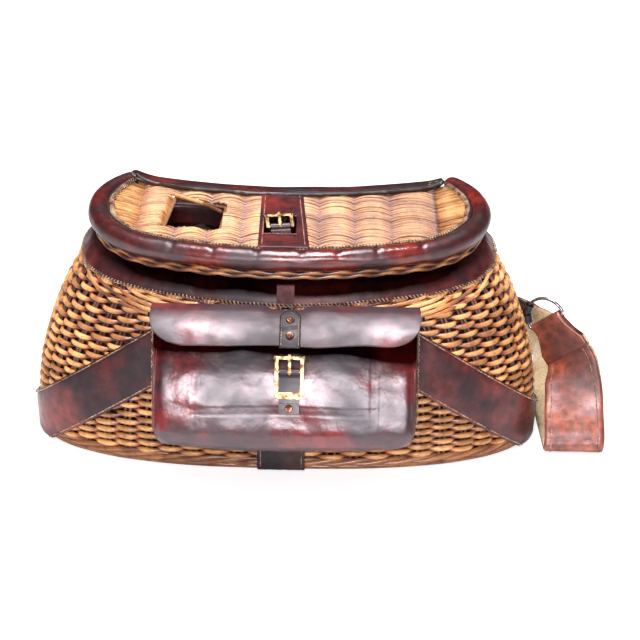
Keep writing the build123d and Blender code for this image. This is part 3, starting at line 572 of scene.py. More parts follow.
def leather_finish(name, deep, body, warm, gloss=0.30, patch=22.0, coat=0.6, dents=1.0, painted_shadow=None):
    """Old oiled leather: dark cloudy patches, warm rubbed ones, dents, fine grain and a waxed shine.

    The last argument, if given, is a direction and a distance along it beyond which the leather gets a
    painted shadow: darkened, and its shine taken away.
    """
    material, nodes, link, skin = fresh_finish(name)
    coordinates = nodes.new("ShaderNodeTexCoord").outputs["Object"]
    cloud = speckle(nodes, link, coordinates, patch, 6.0)
    mottle = speckle(nodes, link, coordinates, patch * 6, 5.0)
    pore = speckle(nodes, link, coordinates, 1100.0, 2.0)
    dent = speckle(nodes, link, coordinates, 55.0, 3.0)
    tone = ramp(nodes, ((0.40, deep), (0.52, body), (0.64, warm)))
    link(cloud, tone.inputs["Fac"])
    spots = ramp(nodes, ((0.36, (0.56, 0.53, 0.56, 1)), (0.52, (1, 1, 1, 1)), (0.70, (1.4, 1.2, 1.2, 1))))
    link(mottle, spots.inputs["Fac"])
    cracks = nodes.new("ShaderNodeTexVoronoi")
    cracks.feature = "DISTANCE_TO_EDGE"
    cracks.inputs["Scale"].default_value = 260.0
    link(coordinates, cracks.inputs["Vector"])
    lines = ramp(nodes, ((0.0, (0.55, 0.5, 0.5, 1)), (0.06, (1, 1, 1, 1))))
    link(cracks.outputs["Distance"], lines.inputs["Fac"])
    colour = blend_colours(nodes, link, "MULTIPLY", 0.85, tone.outputs["Color"], spots.outputs["Color"])
    colour = blend_colours(nodes, link, "MULTIPLY", 0.30, colour, lines.outputs["Color"])
    mirror = 0.25 + 0.7 * coat
    skin.inputs["Specular IOR Level"].default_value = mirror
    skin.inputs["Coat Weight"].default_value = coat
    # painted shadow: past the distance the colour is darkened and the coat and specular fade out
    if painted_shadow:
        direction, distance = painted_shadow
        reach = nodes.new("ShaderNodeVectorMath")
        reach.operation = "DOT_PRODUCT"
        reach.inputs[1].default_value = direction
        link(coordinates, reach.inputs[0])
        shadow_share = nodes.new("ShaderNodeMapRange")
        shadow_share.inputs["From Min"].default_value = distance + 0.003
        shadow_share.inputs["From Max"].default_value = distance + 0.008
        sway = sum_up(nodes, link, "MULTIPLY_ADD", cloud, 0.010, reach.outputs["Value"])
        link(sway, shadow_share.inputs["Value"])
        shadow_colour = nodes.new("ShaderNodeRGB")
        shadow_colour.outputs[0].default_value = (0.10, 0.07, 0.07, 1)
        colour = blend_colours(nodes, link, "MULTIPLY", shadow_share.outputs["Result"], colour, shadow_colour.outputs[0])
        for socket, full in (("Coat Weight", coat), ("Specular IOR Level", mirror)):
            fade = sum_up(nodes, link, "MULTIPLY_ADD", shadow_share.outputs["Result"], -full, full)
            link(fade, skin.inputs[socket])
    link(colour, skin.inputs["Base Color"])
    shine = ramp(nodes, ((0.34, (gloss + 0.24,) * 3 + (1,)), (0.62, (gloss - 0.04,) * 3 + (1,))))
    link(cloud, shine.inputs["Fac"])
    link(shine.outputs["Color"], skin.inputs["Roughness"])
    link(shine.outputs["Color"], skin.inputs["Coat Roughness"])
    grain = bump_on(nodes, link, pore, 0.5, 0.00010)
    wear = bump_on(nodes, link, mottle, 0.6, 0.00018, grain)
    hollow = bump_on(nodes, link, dent, min(1.0, 0.7 * dents), 0.0010, wear)
    link(hollow, skin.inputs["Normal"])
    link(hollow, skin.inputs["Coat Normal"])
    skin.inputs["Coat IOR"].default_value = 1.7
    return material


oxblood = leather_finish(
    "oxblood_leather", paint(50, 22, 28), paint(96, 38, 38), paint(138, 52, 44), 0.32, 24.0, 0.3
)


def dress(label, material):
    """Give a CAD node a finish."""
    slots = bpy.data.objects[label].data.materials
    slots.clear()
    slots.append(material)


for label in ("mouth_border", "hinge_rods", "hinge_keepers"):
    dress(label, mouth_willow)

# (outward, up) from the mouth's edge: up the outside, over the border, down the inside, and back
# along the leather's inner face
collar_profile = (
    (0.0022, -0.0128), (0.0023, -0.0090), (0.0022, -0.0050), (0.0022, -0.0012), (0.0018, 0.0008),
    (0.0008, 0.0018), (-0.0010, 0.0022), (-0.0050, 0.0023), (-0.0085, 0.0020), (-0.0103, 0.0012),
    (-0.0111, -0.0006), (-0.0112, -0.0060), (-0.0112, -0.0120), (-0.0112, -0.0138), (-0.0094, -0.0138),
    (-0.0092, -0.0100), (-0.0092, -0.0010), (-0.0090, 0.0001), (0.0000, 0.0001), (0.0002, -0.0010),
    (0.0002, -0.0100), (0.0002, -0.0140), (0.0012, -0.0142),
)
collar_top = -0.002        # above this height the collar keeps its full shape


def collar_depth(angle):
    """Share of its full depth that the collar keeps: it is deepest behind the pouch's flap."""
    if sin(angle) > 0:
        return 0.75
    return 0.60 + 0.27 * exp(-((basket_point(1.0, angle, 0).x / 0.055) ** 2))


def collar_press(angle, height):
    """Share of its thickness that the collar's lower part keeps: the flap presses it to the wall."""
    if sin(angle) > 0:
        return 1.0
    pressed = exp(-((basket_point(1.0, angle, 0).x / 0.100) ** 4))
    return 1.0 - 0.60 * pressed * min(1.0, max(0.0, (-height - 0.003) / 0.003))


def collar_ripple(angle):
    """Broad and fine unevenness of the collar round the mouth."""
    across, back = cos(angle), sin(angle)
    return noise.noise((7 * across, 7 * back, 2.0)), noise.noise((26 * across, 26 * back, 7.0))


rings = []
for angle in even_angles(1.0, 420):
    ripple, fine = collar_ripple(angle)
    ring = []
    for grow, height in collar_profile:
        low = min(1.0, max(0.0, -height / 0.013)) if grow > 0 else 0.0
        grow += (0.0005 * ripple + 0.0004 * fine) * (1 if grow > 0.001 else 0)
        height += (0.0010 * ripple + 0.0006 * fine) * low
        if grow > 0 and height < collar_top:
            height = collar_top + (height - collar_top) * collar_depth(angle)
            grow *= collar_press(angle, height)
        ring.append(basket_point(1 + height / basket_height, angle, grow))
    rings.append(ring)
collar_skin = leather_finish(
    "collar_leather", paint(44, 18, 24), paint(80, 34, 36), paint(116, 48, 44), 0.34, 24.0, 0.3, 1.0,
    # painted shadow from the lid's overhang on the collar's top at the front
    ((0, -0.25, 1), 0.1440),
)
collar = closed_ring("mouth_collar", rings, collar_skin)
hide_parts("collar_band")
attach(collar, "basket")


def thread_finish(name, soiled, worn, clean):
    """Pale sewing thread, soiled in patches."""
    material, nodes, link, skin = fresh_finish(name)
    coordinates = nodes.new("ShaderNodeTexCoord").outputs["Object"]
    soil = ramp(nodes, ((0.36, soiled), (0.5, worn), (0.7, clean)))
    link(speckle(nodes, link, coordinates, 160.0), soil.inputs["Fac"])
    link(soil.outputs["Color"], skin.inputs["Base Color"])
    skin.inputs["Roughness"].default_value = 0.85
    return material


thread = thread_finish("pale_thread", paint(104, 72, 54), paint(168, 134, 104), paint(214, 186, 152))
whip_stitch = ((0.0020, -0.0122), (0.0028, -0.0127), (0.0029, -0.0139), (0.0021, -0.0149), (0.0003, -0.0150))
whip_thick = 0.00048
collar_stitches = []
for i, angle in enumerate(even_angles(1.0, 270)):
    slant = 0.010 + 0.003 * noise.noise((i * 0.7, 0, 0))
    ripple, fine = collar_ripple(angle)
    dip = 0.0010 * ripple + 0.0006 * fine
    line = []
    for step, (grow, height) in enumerate(whip_stitch):
        height = collar_top + (height + dip - collar_top) * collar_depth(angle)
        grow *= collar_press(angle, height)
        point = basket_point(1 + height / basket_height, angle + slant * step / 4, grow)
        line.append((point, whip_thick, 1.0))
    collar_stitches.append((line, False))
stitching = grow_rods("collar_stitches", collar_stitches, thread, 5)
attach(stitching, "basket")

# Lid weave: finer willow rods laid close together from end to end. Between the hidden ribs they
# arch up, and past the outermost ribs they spread straight to the rim. A hole for the fish stays open.
lid_origin = Vector((0, -0.042, 0.153))
lid_back = Vector((0, cos(mouth_tilt), sin(mouth_tilt)))
lid_up = Vector((0, -sin(mouth_tilt), cos(mouth_tilt)))
front_radius, front_turn = 0.330, radians(17.5)
lid_half_width, side_radius = 0.145, 0.0635
side_turn = radians(50)        # how far the rim goes on round each end, towards the back
corner_radius = (lid_half_width - front_radius * sin(front_turn)) / (1 - sin(front_turn))
corner_x = (front_radius - corner_radius) * sin(front_turn)
corner_y = front_radius - (front_radius - corner_radius) * cos(front_turn)
side_x = corner_x + corner_radius - side_radius
lid_depth = 0.104


def on_lid(u, v, w):
    """Point of the lid's own plane: right, back from the rim's front, up."""
    return lid_origin + Vector((u, 0, 0)) + v * lid_back + w * lid_up


def rim_line(inset, end_turn, step):
    """Points (u, v) and outward directions along the rim, from its left end to its right end."""
    joint = front_turn - pi / 2
    arcs = ((side_x, corner_y, side_radius, end_turn, 0.0), (corner_x, corner_y, corner_radius, 0.0, joint))
    right = []
    for u, v, radius, start, stop in arcs:
        count = max(2, ceil(abs(stop - start) * radius / step))
        for i in range(count):
            turn = start + (stop - start) * i / count
            a, b = cos(turn), sin(turn)
            right.append((u + (radius - inset) * a, v + (radius - inset) * b, a, b))
    count = ceil(front_turn * front_radius / step)
    for i in range(count + 1):
        turn = -pi / 2 + front_turn * (1 - i / count)
        u, v = (front_radius - inset) * cos(turn), front_radius + (front_radius - inset) * sin(turn)
        right.append((u, v, cos(turn), sin(turn)))
    return [(-u, v, -a, b) for u, v, a, b in right[:-1]] + list(reversed(right))


def inside(u, v, edge):
    """Whether a point of the lid's plane lies inside a closed outline."""
    hit = False
    for (a, b), (c, d) in zip(edge, edge[1:] + edge[:1]):
        if (b > v) != (d > v) and u < a + (c - a) * (v - b) / (d - b):
            hit = not hit
    return hit


back_corner_u = side_x + (side_radius - 0.006) * cos(side_turn)
back_corner_v = corner_y + (side_radius - 0.006) * sin(side_turn)


def back_edge(u):
    """How far back the lid's weave reaches at a place across it."""
    return lid_depth + (back_corner_v - lid_depth) * (u / back_corner_u) ** 2


back_half = 0.118
weave_edge = [(u, v) for u, v, a, b in rim_line(0.0042, side_turn, 0.004)]
weave_edge += [(u, back_edge(u)) for u in [back_half - 2 * back_half * i / 32 for i in range(33)]]
fish_hole = [(-0.0899, 0.0935), (-0.0495, 0.0775), (-0.0520, 0.0370), (-0.0949, 0.0420)]
slot_well = [(-0.0207, 0.0235), (0.0083, 0.0235), (0.0083, 0.0585), (-0.0207, 0.0585)]      # for the buckle
ribs = (-0.116, -0.085, -0.061, -0.035, -0.006, 0.023, 0.050, 0.078, 0.112)
lid_rod = 0.00118              # radius
lid_rows, lid_pitch = 44, 0.00262
lid_step = 0.0021              # from one station of a lid rod to the next
lid_stations = 68              # on each side of the middle
spread_start = 0.114           # how far out the rods begin to spread


def lid_place(u, row):
    """Height, and shift to the back, of a lid rod at a place, and its painted light: 1, a painted highlight,
    on a crest, falling to 0, painted shade, over a rib.
    """
    if abs(u) > spread_start:
        spread = min(1.0, (abs(u) - spread_start) / 0.012)
        return 0.0034 + 0.0014 * spread, 0.42 * (abs(u) - spread_start), 0.55 + 0.45 * spread
    for a, b in zip(ribs, ribs[1:]):
        if a <= u <= b:
            share = (u - a) / (b - a)
            crest = sin(pi * share) ** 0.8
            uneven = noise.noise((a * 90, row * 0.31, 5.0))
            height = 0.0038 + (0.0021 + 0.0004 * uneven) * crest
            return height, (0.0036 + 0.0012 * uneven) * crest, 0.25 + 0.75 * crest
    return 0.0040, 0.0, 0.0


lid_willow = willow_finish(
    "lid_willow",
    paint(132, 94, 78), paint(184, 130, 88), paint(206, 148, 86), paint(228, 180, 116),
    (1.16, 1.16, 1.14, 1), (0.60, 0.47, 0.38, 1),
)
lid_rods = []
for row in range(lid_rows):
    v_row = -0.001 + lid_pitch * row
    perch = 0.0009 * (Random(row + 11).random() - 0.5)
    line = []
    for i in range(-lid_stations, lid_stations + 1):
        u = i * lid_step
        lift, shift, crest = lid_place(u, row)
        drift = noise.noise((u * 22, row * 0.8, 1.0))
        v = v_row + shift + 0.0009 * drift
        thick = lid_rod * (1 + 0.14 * noise.noise((u * 30, row * 3.7, 9.0)))
        turned_down = 0.0
        woven = inside(u, v, weave_edge) and not inside(u, v, fish_hole) and not inside(u, v, slot_well)
        if woven:
            if inside(u + 2 * lid_step, v, fish_hole):
                turned_down = 0.0016
                if inside(u + lid_step, v, fish_hole):
                    turned_down = 0.0040
            # a rod that turns down into the fish hole is painted in shade
            if turned_down:
                crest *= 0.7
            line.append((on_lid(u, v, lift + perch - turned_down), thick, crest))
        if (not woven or i == lid_stations) and line:
            if len(line) > 2:
                lid_rods.append((line, False))
            line = []
for offset in (0.0, 0.0026):
    line = []
    for i in range(-55, 56):
        u = i * lid_step
        lift, shift, crest = lid_place(u, 60)
        line.append((on_lid(u, back_edge(u) - 0.0016 - offset, lift), lid_rod, crest))
    lid_rods.append((line, False))
hole_height, hole_thick = 0.0026, 0.0013        # of the rods that frame the fish hole
for (a, b), (c, d) in zip(fish_hole, fish_hole[1:] + fish_hole[:1]):
    line = []
    for i in range(13):
        u, v = a + (c - a) * i / 12, b + (d - b) * i / 12
        # the rods round the fish hole are painted in shade
        line.append((on_lid(u, v, hole_height), hole_thick, 0.35))
    lid_rods.append((line, False))
lid_weave = grow_rods("lid_weave", lid_rods, lid_willow, 8)
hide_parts("lid_panel")
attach(lid_weave, "lid")

rib_apart, rib_thick = 0.0016, 0.00145        # half the gap between a pair of ribs, and a rib's radius
hidden_ribs = []
for rib in ribs:
    front = 0.004 + max(0.0, (abs(rib) - 0.06)) * 0.42
    for side in (-1, 1):
        u = rib + side * rib_apart
        line = []
        for i in range(40):
            v = front + (back_edge(u) - 0.002 - front) * i / 39
            if inside(u, v, fish_hole) or inside(u, v, slot_well):
                if len(line) > 1:
                    hidden_ribs.append((line, False))
                line = []
            else:
                # the ribs under the weave are painted in deep shade
                line.append((on_lid(u, v, 0.0013), rib_thick, 0.1))
        if len(line) > 1:
            hidden_ribs.append((line, False))
lid_ribs = grow_rods("lid_ribs", hidden_ribs, lid_willow)
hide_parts("lid_panel")
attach(lid_ribs, "lid")

# Broken stick: a rod of the fish hole's back edge has snapped, and its two halves of varnished
# willow lie across the opening.
broken = []
# the second half, lower in the hole, is painted in shade
for (u, v, height), (run_u, run_v, fall), thick, outside_lit in (
    ((-0.0900, 0.0925, 0.0056), (0.0230, 0.0130, 0.0004), 0.00165, 1.0),
    ((-0.0670, 0.0800, 0.0046), (0.0150, 0.0120, 0.0006), 0.00160, 0.1),
):
    line = []
    for i in range(9):
        point = on_lid(u + run_u * i / 8, v - run_v * i / 8, height - fall * i / 8)
        line.append((point, thick, outside_lit))
    broken.append((line, False))
broken_stick = grow_rods("broken_stick", broken, lid_willow, 10)
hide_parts("fish_hole_stick")
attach(broken_stick, "lid")

# Rim of the lid: a firm padded roll of oxblood leather, gathered into creases where the maker
# pulled it round the curve, with a flat flange whip-stitched down to the weave inside it.
roll_radius, roll_out, roll_rise = 0.0083, 0.0027, 0.0027
roll_skin = leather_finish(
    "roll_leather", paint(64, 17, 18), paint(104, 30, 26), paint(140, 46, 32), 0.25, 26.0, 0.6, 0.8
)
crease_places = (-0.084, -0.054, -0.022, 0.011, 0.037, 0.0655, 0.0985)
roll_step = 0.0013
roll_line = rim_line(-roll_out, side_turn, roll_step)
rings = []
for number, (u, v, out_u, out_v) in enumerate(roll_line):
    from_end = min(number, len(roll_line) - 1 - number) * roll_step
    close = 1.0 if from_end > 0.009 else (1 - (1 - from_end / 0.009) ** 2.6) ** 0.5
    close = max(close, 0.18) * (1 - 0.26 * max(0.0, 1 - from_end / 0.055) ** 1.3)
    pinch = sum(exp(-(((u - place) / 0.0021) ** 2)) for place in crease_places) if v < 0.06 else 0.0
    ring = []
    for k in range(40):
        turn = 2 * pi * k / 40
        height, outward = sin(turn), cos(turn)
        inner_top = max(0.0, 0.75 * height - 0.65 * outward)
        wave = noise.noise((u * 34, v * 34, 2.2 * height)) * 0.0005
        pucker = noise.noise((u * 210, v * 210, 3.0 * turn)) * 0.00022 * (0.3 + inner_top)
        radius = roll_radius * close + wave + pucker - pinch * (0.0002 + 0.0013 * inner_top)
        point = (u + out_u * outward * radius, v + out_v * outward * radius, roll_rise + height * radius)
        ring.append(on_lid(*point))
    rings.append(ring)
roll = closed_ring("lid_rim_roll_cover", rings, roll_skin, closed=False)
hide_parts("lid_rim_roll")
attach(roll, "lid")

dark_leather = leather_finish(
    "dark_leather", paint(26, 18, 22), paint(48, 33, 36), paint(78, 50, 48), 0.36, 22.0, 0.35
)
flange_turn = radians(46)        # the flange stops a little short of the roll's ends


def flange_edge(u, v):
    """How far inside the rim the flange's wandering inner edge lies."""
    pinch = sum(exp(-(((u - place) / 0.006) ** 2)) for place in crease_places) if v < 0.06 else 0.0
    wave = 0.0011 * noise.noise((u * 60, v * 60, 3.0)) - 0.0012 * pinch
    return 0.0072 + wave


rings = []
for u, v, out_u, out_v in rim_line(0, flange_turn, 0.0016):
    edge = flange_edge(u, v)
    rings.append([
        on_lid(u - out_u * inset, v - out_v * inset, height)
        for inset, height in (
            (0.0040, 0.0066), (edge - 0.0006, 0.0066), (edge, 0.0070), (edge, 0.0074),
            (edge - 0.0006, 0.0078), (0.0056, 0.0080), (0.0044, 0.0082), (0.0036, 0.0084),
        )
    ])
flange = closed_ring("lid_rim_flange", rings, dark_leather, closed=False)
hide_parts("lid_rim_roll")
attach(flange, "lid")

# share of its slant, distance past the flange's edge, and height, along each whip stitch
rim_stitch = ((0, -0.0016, 0.0080), (0.35, -0.0004, 0.0086), (0.7, 0.0009, 0.0082), (1, 0.0016, 0.0068))
rim_slant, rim_thread = 0.0017, 0.00058
rim_stitches = []
for u, v, out_u, out_v in rim_line(0, flange_turn, 0.0026):
    edge = flange_edge(u, v)
    along_u, along_v = -out_v, out_u
    line = []
    for share, inset, height in rim_stitch:
        slide = rim_slant * (share - 0.5)
        reach = edge + inset
        point = on_lid(u - out_u * reach + along_u * slide, v - out_v * reach + along_v * slide, height)
        line.append((point, rim_thread, 1.0))
    rim_stitches.append((line, False))
stitching = grow_rods("lid_rim_stitches", rim_stitches, thread, 6)
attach(stitching, "lid")

# Under-lid border: willow rods are twisted round below the roll. Just inside them, all along the rim, a
# band stands down from the lid as a dark sheet of painted shade: it carries none of the rods'
# attributes, so the willow finish gives it its darkest colour.
border_lines = (        # inset from the rim, height, radius
    (-0.0040, -0.0076, 0.0017), (-0.0046, -0.0106, 0.0017), (0.0004, -0.0082, 0.0017),
    (0.0000, -0.0114, 0.0017), (0.0080, -0.0116, 0.0016), (0.0118, -0.0118, 0.0016),
)
border_rods = []
for number, (inset, height, thick) in enumerate(border_lines):
    line = []
    for i, (u, v, out_u, out_v) in enumerate(rim_line(inset, radians(44), 0.003)):
        twist = sin(i * 0.9 + number * 2.1)
        # painted light: lighter where a twisted rod rises, darker where it sinks
        line.append((on_lid(u, v, height + 0.0008 * twist), thick, 0.62 + 0.3 * twist))
    border_rods.append((line, False))
band_section = (        # inset from the rim, height
    (0.0072, -0.0104), (0.0072, 0.0012), (0.0086, 0.0014), (0.0150, 0.0012), (0.0150, -0.0120),
    (0.0086, -0.0122),
)
rings = []
for u, v, out_u, out_v in rim_line(0, flange_turn, 0.003):
    rings.append([on_lid(u - out_u * inset, v - out_v * inset, height) for inset, height in band_section])
shade_band = closed_ring("lid_shade_band", rings, wall_willow, closed=False)
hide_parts("lid_under_border")
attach(shade_band, "lid")
under_border = grow_rods("lid_under_rods", border_rods, mouth_willow, 8)
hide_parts("lid_under_border")
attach(under_border, "lid")

# Centre strip: a strap of oxblood leather sewn down the middle of the lid from the rim to the back,
# with a slot cut in it for the buckle.
slot_u, slot_v = (-0.0182, 0.0058), (0.026, 0.056)


def slab(name, rows, thickness, material, holes=(), round_edge=0.0005):
    """Sheet of leather from rows of points, thickened away from its face, with rounded edges.

    Holes are the (row, column) places that are left out.
    """
    mesh = bpy.data.meshes.new(name)
    across = len(rows[0])
    faces = []
    for i in range(len(rows) - 1):
        for k in range(across - 1):
            if (i, k) not in holes:
                a, b = i * across + k, (i + 1) * across + k
                faces.append((a, a + 1, b + 1, b))
    mesh.from_pydata([point for row in rows for point in row], [], faces)
    shape = bmesh.new()
    shape.from_mesh(mesh)
    loose = [corner for corner in shape.verts if not corner.link_faces]
    bmesh.ops.delete(shape, geom=loose, context="VERTS")
    shape.to_mesh(mesh)
    shape.free()
    for face in mesh.polygons:
        face.use_smooth = True
    piece = new_piece(name, mesh, material)
    wall = piece.modifiers.new("wall", "SOLIDIFY")
    wall.thickness = thickness
    wall.offset = -1.0
    wall.use_even_offset = True
    rim = piece.modifiers.new("rim", "BEVEL")
    rim.width = round_edge
    rim.segments = 2
    rim.limit_method = "ANGLE"
    rim.angle_limit = radians(50)
    bpy.context.view_layer.update()
    made = bpy.data.meshes.new_from_object(piece.evaluated_get(bpy.context.evaluated_depsgraph_get()))
    made.name = name
    piece.modifiers.clear()
    piece.data = made
    return piece


def steps(start, stop, count):
    """Evenly spaced numbers, both ends included."""
    return [start + (stop - start) * i / count for i in range(count + 1)]


def strip_edges(v):
    """Share of the centre strip's length at a place, and where its left and right edge lie there."""
    share = (v - 0.0086) / 0.084
    return share, -0.0218 - 0.0004 * share, 0.0160 - 0.0058 * share


columns = steps(0, 1, 3) + steps(1, 2, 10)[1:] + steps(2, 3, 4)[1:]
strip_v = steps(0.0054, slot_v[0], 8) + steps(*slot_v, 14)[1:] + steps(slot_v[1], 0.0917, 16)[1:]
rows = []
for v in strip_v:
    share, left, right = strip_edges(v)
    row = []
    for column in columns:
        knots = (left, slot_u[0], slot_u[1], right)
        k = min(2, int(column))
        u = knots[k] + (knots[k + 1] - knots[k]) * (column - k)
        lift = 0.0093 + 0.0005 * noise.noise((u * 60, v * 60, 11.0)) - 0.0012 * share
        if slot_u[0] < u < slot_u[1]:
            lift += 0.0010 * exp(-(((v - slot_v[0] + 0.001) / 0.003) ** 2))
        row.append(on_lid(u, v, lift))
    rows.append(row)
holes = {(i, k) for i in range(8, 22) for k in range(3, 13)}
strip = slab("lid_strip", rows, 0.0019, oxblood, holes)
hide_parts("lid_centre_strip")
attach(strip, "lid")

faded_thread = thread_finish("faded_thread", paint(120, 70, 62), paint(176, 124, 108), paint(206, 166, 146))


def running_stitches(line, lift, length, gap, thick):
    """Stitches laid end to end along a line of (point, outward) pairs."""
    laid, run = [], [0.0]
    for (a, _), (b, _) in zip(line, line[1:]):
        run.append(run[-1] + (b - a).length)

    def at(distance):
        past = next((i for i, travelled in enumerate(run) if travelled > distance), len(run))
        k = max(0, min(len(run) - 2, past - 1))
        share = min(1.0, max(0.0, (distance - run[k]) / max(1e-9, run[k + 1] - run[k])))
        return line[k][0].lerp(line[k + 1][0], share), line[k][1].lerp(line[k + 1][1], share).normalized()

    place = gap
    while place + length < run[-1]:
        stitch = []
        for share, height in ((0, -0.6), (0.15, 0.35), (0.5, 0.8), (0.85, 0.35), (1, -0.6)):
            point, normal = at(place + length * share)
            stitch.append((point + normal * (lift + height * thick), thick, 1.0))
        laid.append((stitch, False))
        place += length + gap
    return laid


strip_thread = 0.00042
strip_stitches = []
for side in (-1, 1):
    line = []
    for v in steps(0.009, 0.0915, 40):
        share, left, right = strip_edges(v)
        edge = left if side < 0 else right
        line.append((on_lid(edge - side * 0.0030, v, 0.0094 - 0.0012 * share), lid_up))
    strip_stitches += running_stitches(line, 0.0001, 0.0028, 0.0007, strip_thread)
across_slot = steps(slot_u[0] - 0.001, slot_u[1] + 0.001, 12)
line = [(on_lid(u, slot_v[0] - 0.0026, 0.0101), lid_up) for u in across_slot]
strip_stitches += running_stitches(line, 0.0001, 0.0024, 0.0008, strip_thread)
stitching = grow_rods("lid_strip_stitches", strip_stitches, faded_thread, 5)
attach(stitching, "lid")

# Back edge of the lid: a strip of dark leather folded over the ends of the rods. It has dried out,
# and its ends have come loose and curl up.
glued = 0.104        # how far from the middle the strip still lies flat


def loose_rise(u):
    """How far the strip curls up at a place across the lid."""
    return (0.0046 if u > 0 else 0.0062) * max(0.0, (abs(u) - glued) / 0.018) ** 2


def ragged_edge(u):
    """How far the strip's front edge wanders at a place across the lid."""
    return 0.0011 * noise.noise((u * 45, 3.0, 0)) + 0.0006 * noise.noise((u * 190, 8.0, 0))


rings = []
for i in range(181):
    u = -0.123 + 0.242 * i / 180
    back = back_edge(u)
    slope = 2 * (back_corner_v - lid_depth) * u / back_corner_u**2
    length = hypot(1, slope)
    out_u, out_v = -slope / length, 1 / length
    tear = 0.004 * max(0.0, (u - glued) / 0.015) * (0.6 + noise.noise((u * 400, 1.0, 0)))
    width = 0.0130 + ragged_edge(u) - tear
    waved = 0.0006 * noise.noise((u * 30, 1.0, 4.0))
    section = (
        (width, 0.0066), (width + 0.0003, 0.0076), (width - 0.0006, 0.0085), (0.0090, 0.0092),
        (0.0045, 0.0094), (0.0008, 0.0090), (-0.0016, 0.0076), (-0.0024, 0.0050), (-0.0022, 0.0022),
        (-0.0010, 0.0003), (0.0030, -0.0006), (0.0090, -0.0005), (0.0125, -0.0002), (0.0127, 0.0012),
        (0.0080, 0.0017), (0.0020, 0.0022), (0.0002, 0.0035), (0.0003, 0.0058), (0.0020, 0.0068),
        (0.0080, 0.0068),
    )
    ring = []
    for inset, height in section:
        height += loose_rise(u) * (0.4 + 0.6 * min(1, max(0, inset / 0.012))) + waved
        ring.append(on_lid(u - out_u * inset, back - out_v * inset, height))
    rings.append(ring)
binding_skin = leather_finish(
    "binding_leather", paint(34, 14, 14), paint(66, 26, 24), paint(104, 44, 34), 0.28
)
binding = closed_ring("lid_back_fold", rings, binding_skin, closed=False)
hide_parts("lid_back_binding")
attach(binding, "lid")

# The strip's front edge has rolled up into a dark bead.
curled = []
for i in range(181):
    u = -0.122 + 0.240 * i / 180
    thick = 0.0016 + 0.0005 * noise.noise((u * 60, 5.0, 2.0))
    point = on_lid(u, back_edge(u) - 0.0126 - ragged_edge(u), 0.0084 + loose_rise(u))
    curled.append((point, thick, 1.0))
curled_edge = grow_rods("lid_back_curl", [(curled, False)], dark_leather, 10)
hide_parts("lid_back_binding")
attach(curled_edge, "lid")

# Rod ends have frayed out of the torn right end of the strip.
frayed = []
for number in range(16):
    dice = Random(number + 3)
    u = 0.106 + 0.012 * dice.random()
    v = back_edge(u) - 0.011 * dice.random()
    tip = Vector((dice.uniform(0.001, 0.006), dice.uniform(-0.003, 0.004), dice.uniform(0.000, 0.004)))
    base = on_lid(u, v, 0.0075)
    bend = base + tip * 0.5 + Vector((0, 0, 0.0006))
    frayed.append(([(base, 0.00055, 0.9), (bend, 0.00045, 0.9), (base + tip, 0.0002, 0.9)], False))
frayed_ends = grow_rods("frayed_rod_ends", frayed, lid_willow, 5)
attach(frayed_ends, "lid")

# Hinge loops: the lid hangs on two loops of dark leather, which turn on short willow rods at the
# basket's rear corners.
dress("lid_hinge_loops", dark_leather)

# Strap tails: two narrow ends of dark leather lie crossed inside the mouth, against the back wall,
# where only the hole for the fish shows them.
tail_leather = leather_finish("tail_leather", paint(44, 34, 34), paint(76, 62, 60), paint(104, 88, 84), 0.45)
dress("inner_strap_tails", tail_leather)

# Pouch: one sheet of oxblood leather is moulded into a bag and sewn along its sides to a back piece
# that lies against the weave. Double lines are tooled round its front.
pouch_skin = leather_finish(
    "pouch_leather", paint(40, 16, 28), paint(80, 30, 40), paint(142, 42, 42), 0.28, 20.0, 0.8, 1.2,
    # painted shadow under the flap's lip on the top of the pouch
    ((0.025, 0, 1), 0.0968),
)
front_knots = (        # the front's section in millimetres: y, z
    (-82.5, 110), (-85.0, 101.5), (-97.5, 88), (-107.5, 74), (-114, 60), (-118, 48), (-116.5, 38),
    (-109, 31),
)


def through(knots, count):
    """Points of a smooth curve through knots, each a tuple of numbers."""
    ends = [tuple(2 * a - b for a, b in zip(knots[0], knots[1]))] + list(knots)
    ends.append(tuple(2 * a - b for a, b in zip(knots[-1], knots[-2])))
    laid = []
    for i in range(count + 1):
        place = (len(knots) - 1) * i / count
        k = min(len(knots) - 2, int(place))
        t = place - k
        laid.append(tuple(
            0.5 * (2 * b + (c - a) * t + (2 * a - 5 * b + 4 * c - d) * t**2 + (3 * b - a - 3 * c + d) * t**3)
            for a, b, c, d in zip(ends[k], ends[k + 1], ends[k + 2], ends[k + 3])
        ))
    return laid


def wall_front(x, z, grow):
    """Point on the front of the basket's skin at a place across it and a height."""
    level = z / basket_height
    angle = -pi / 2
    for _ in range(3):
        low, high = -pi, -0.0001
        for _ in range(26):
            angle = (low + high) / 2
            if basket_point(level, angle, grow).x < x:
                low = angle
            else:
                high = angle
        level += (z - basket_point(level, angle, grow).z) / basket_height
    return basket_point(level, angle, grow)


pouch_half, pouch_floor, pouch_round = 0.096, 0.031, 0.016
side_columns, front_columns, floor_rows = 17, 118, 10
last_column = front_columns + 2 * side_columns
tooled_upright, tooled_level = (-0.0655, -0.0625, 0.0632, 0.0665), (0.0640, 0.0672)


def pouch_wrinkle(x, height):
    """How far the pouch's front stands out: folds, the hollow under the buckle and the tooled lines."""
    out = 0.0016 * noise.noise((x * 22, height * 30, 1.0))
    out += 0.0006 * noise.noise((x * 70, height * 95, 3.0))
    out -= 0.0030 * exp(-(((x - 0.004) / 0.030) ** 2) - (((height - 0.070) / 0.030) ** 2))
    if 0.04 < height < 0.11:
        for line_x in tooled_upright:
            out -= 0.00060 * exp(-(((x - line_x) / 0.0007) ** 2))
    if abs(x) < 0.068:
        for line_z in tooled_level:
            out -= 0.00055 * exp(-(((height - line_z) / 0.0007) ** 2))
    return out


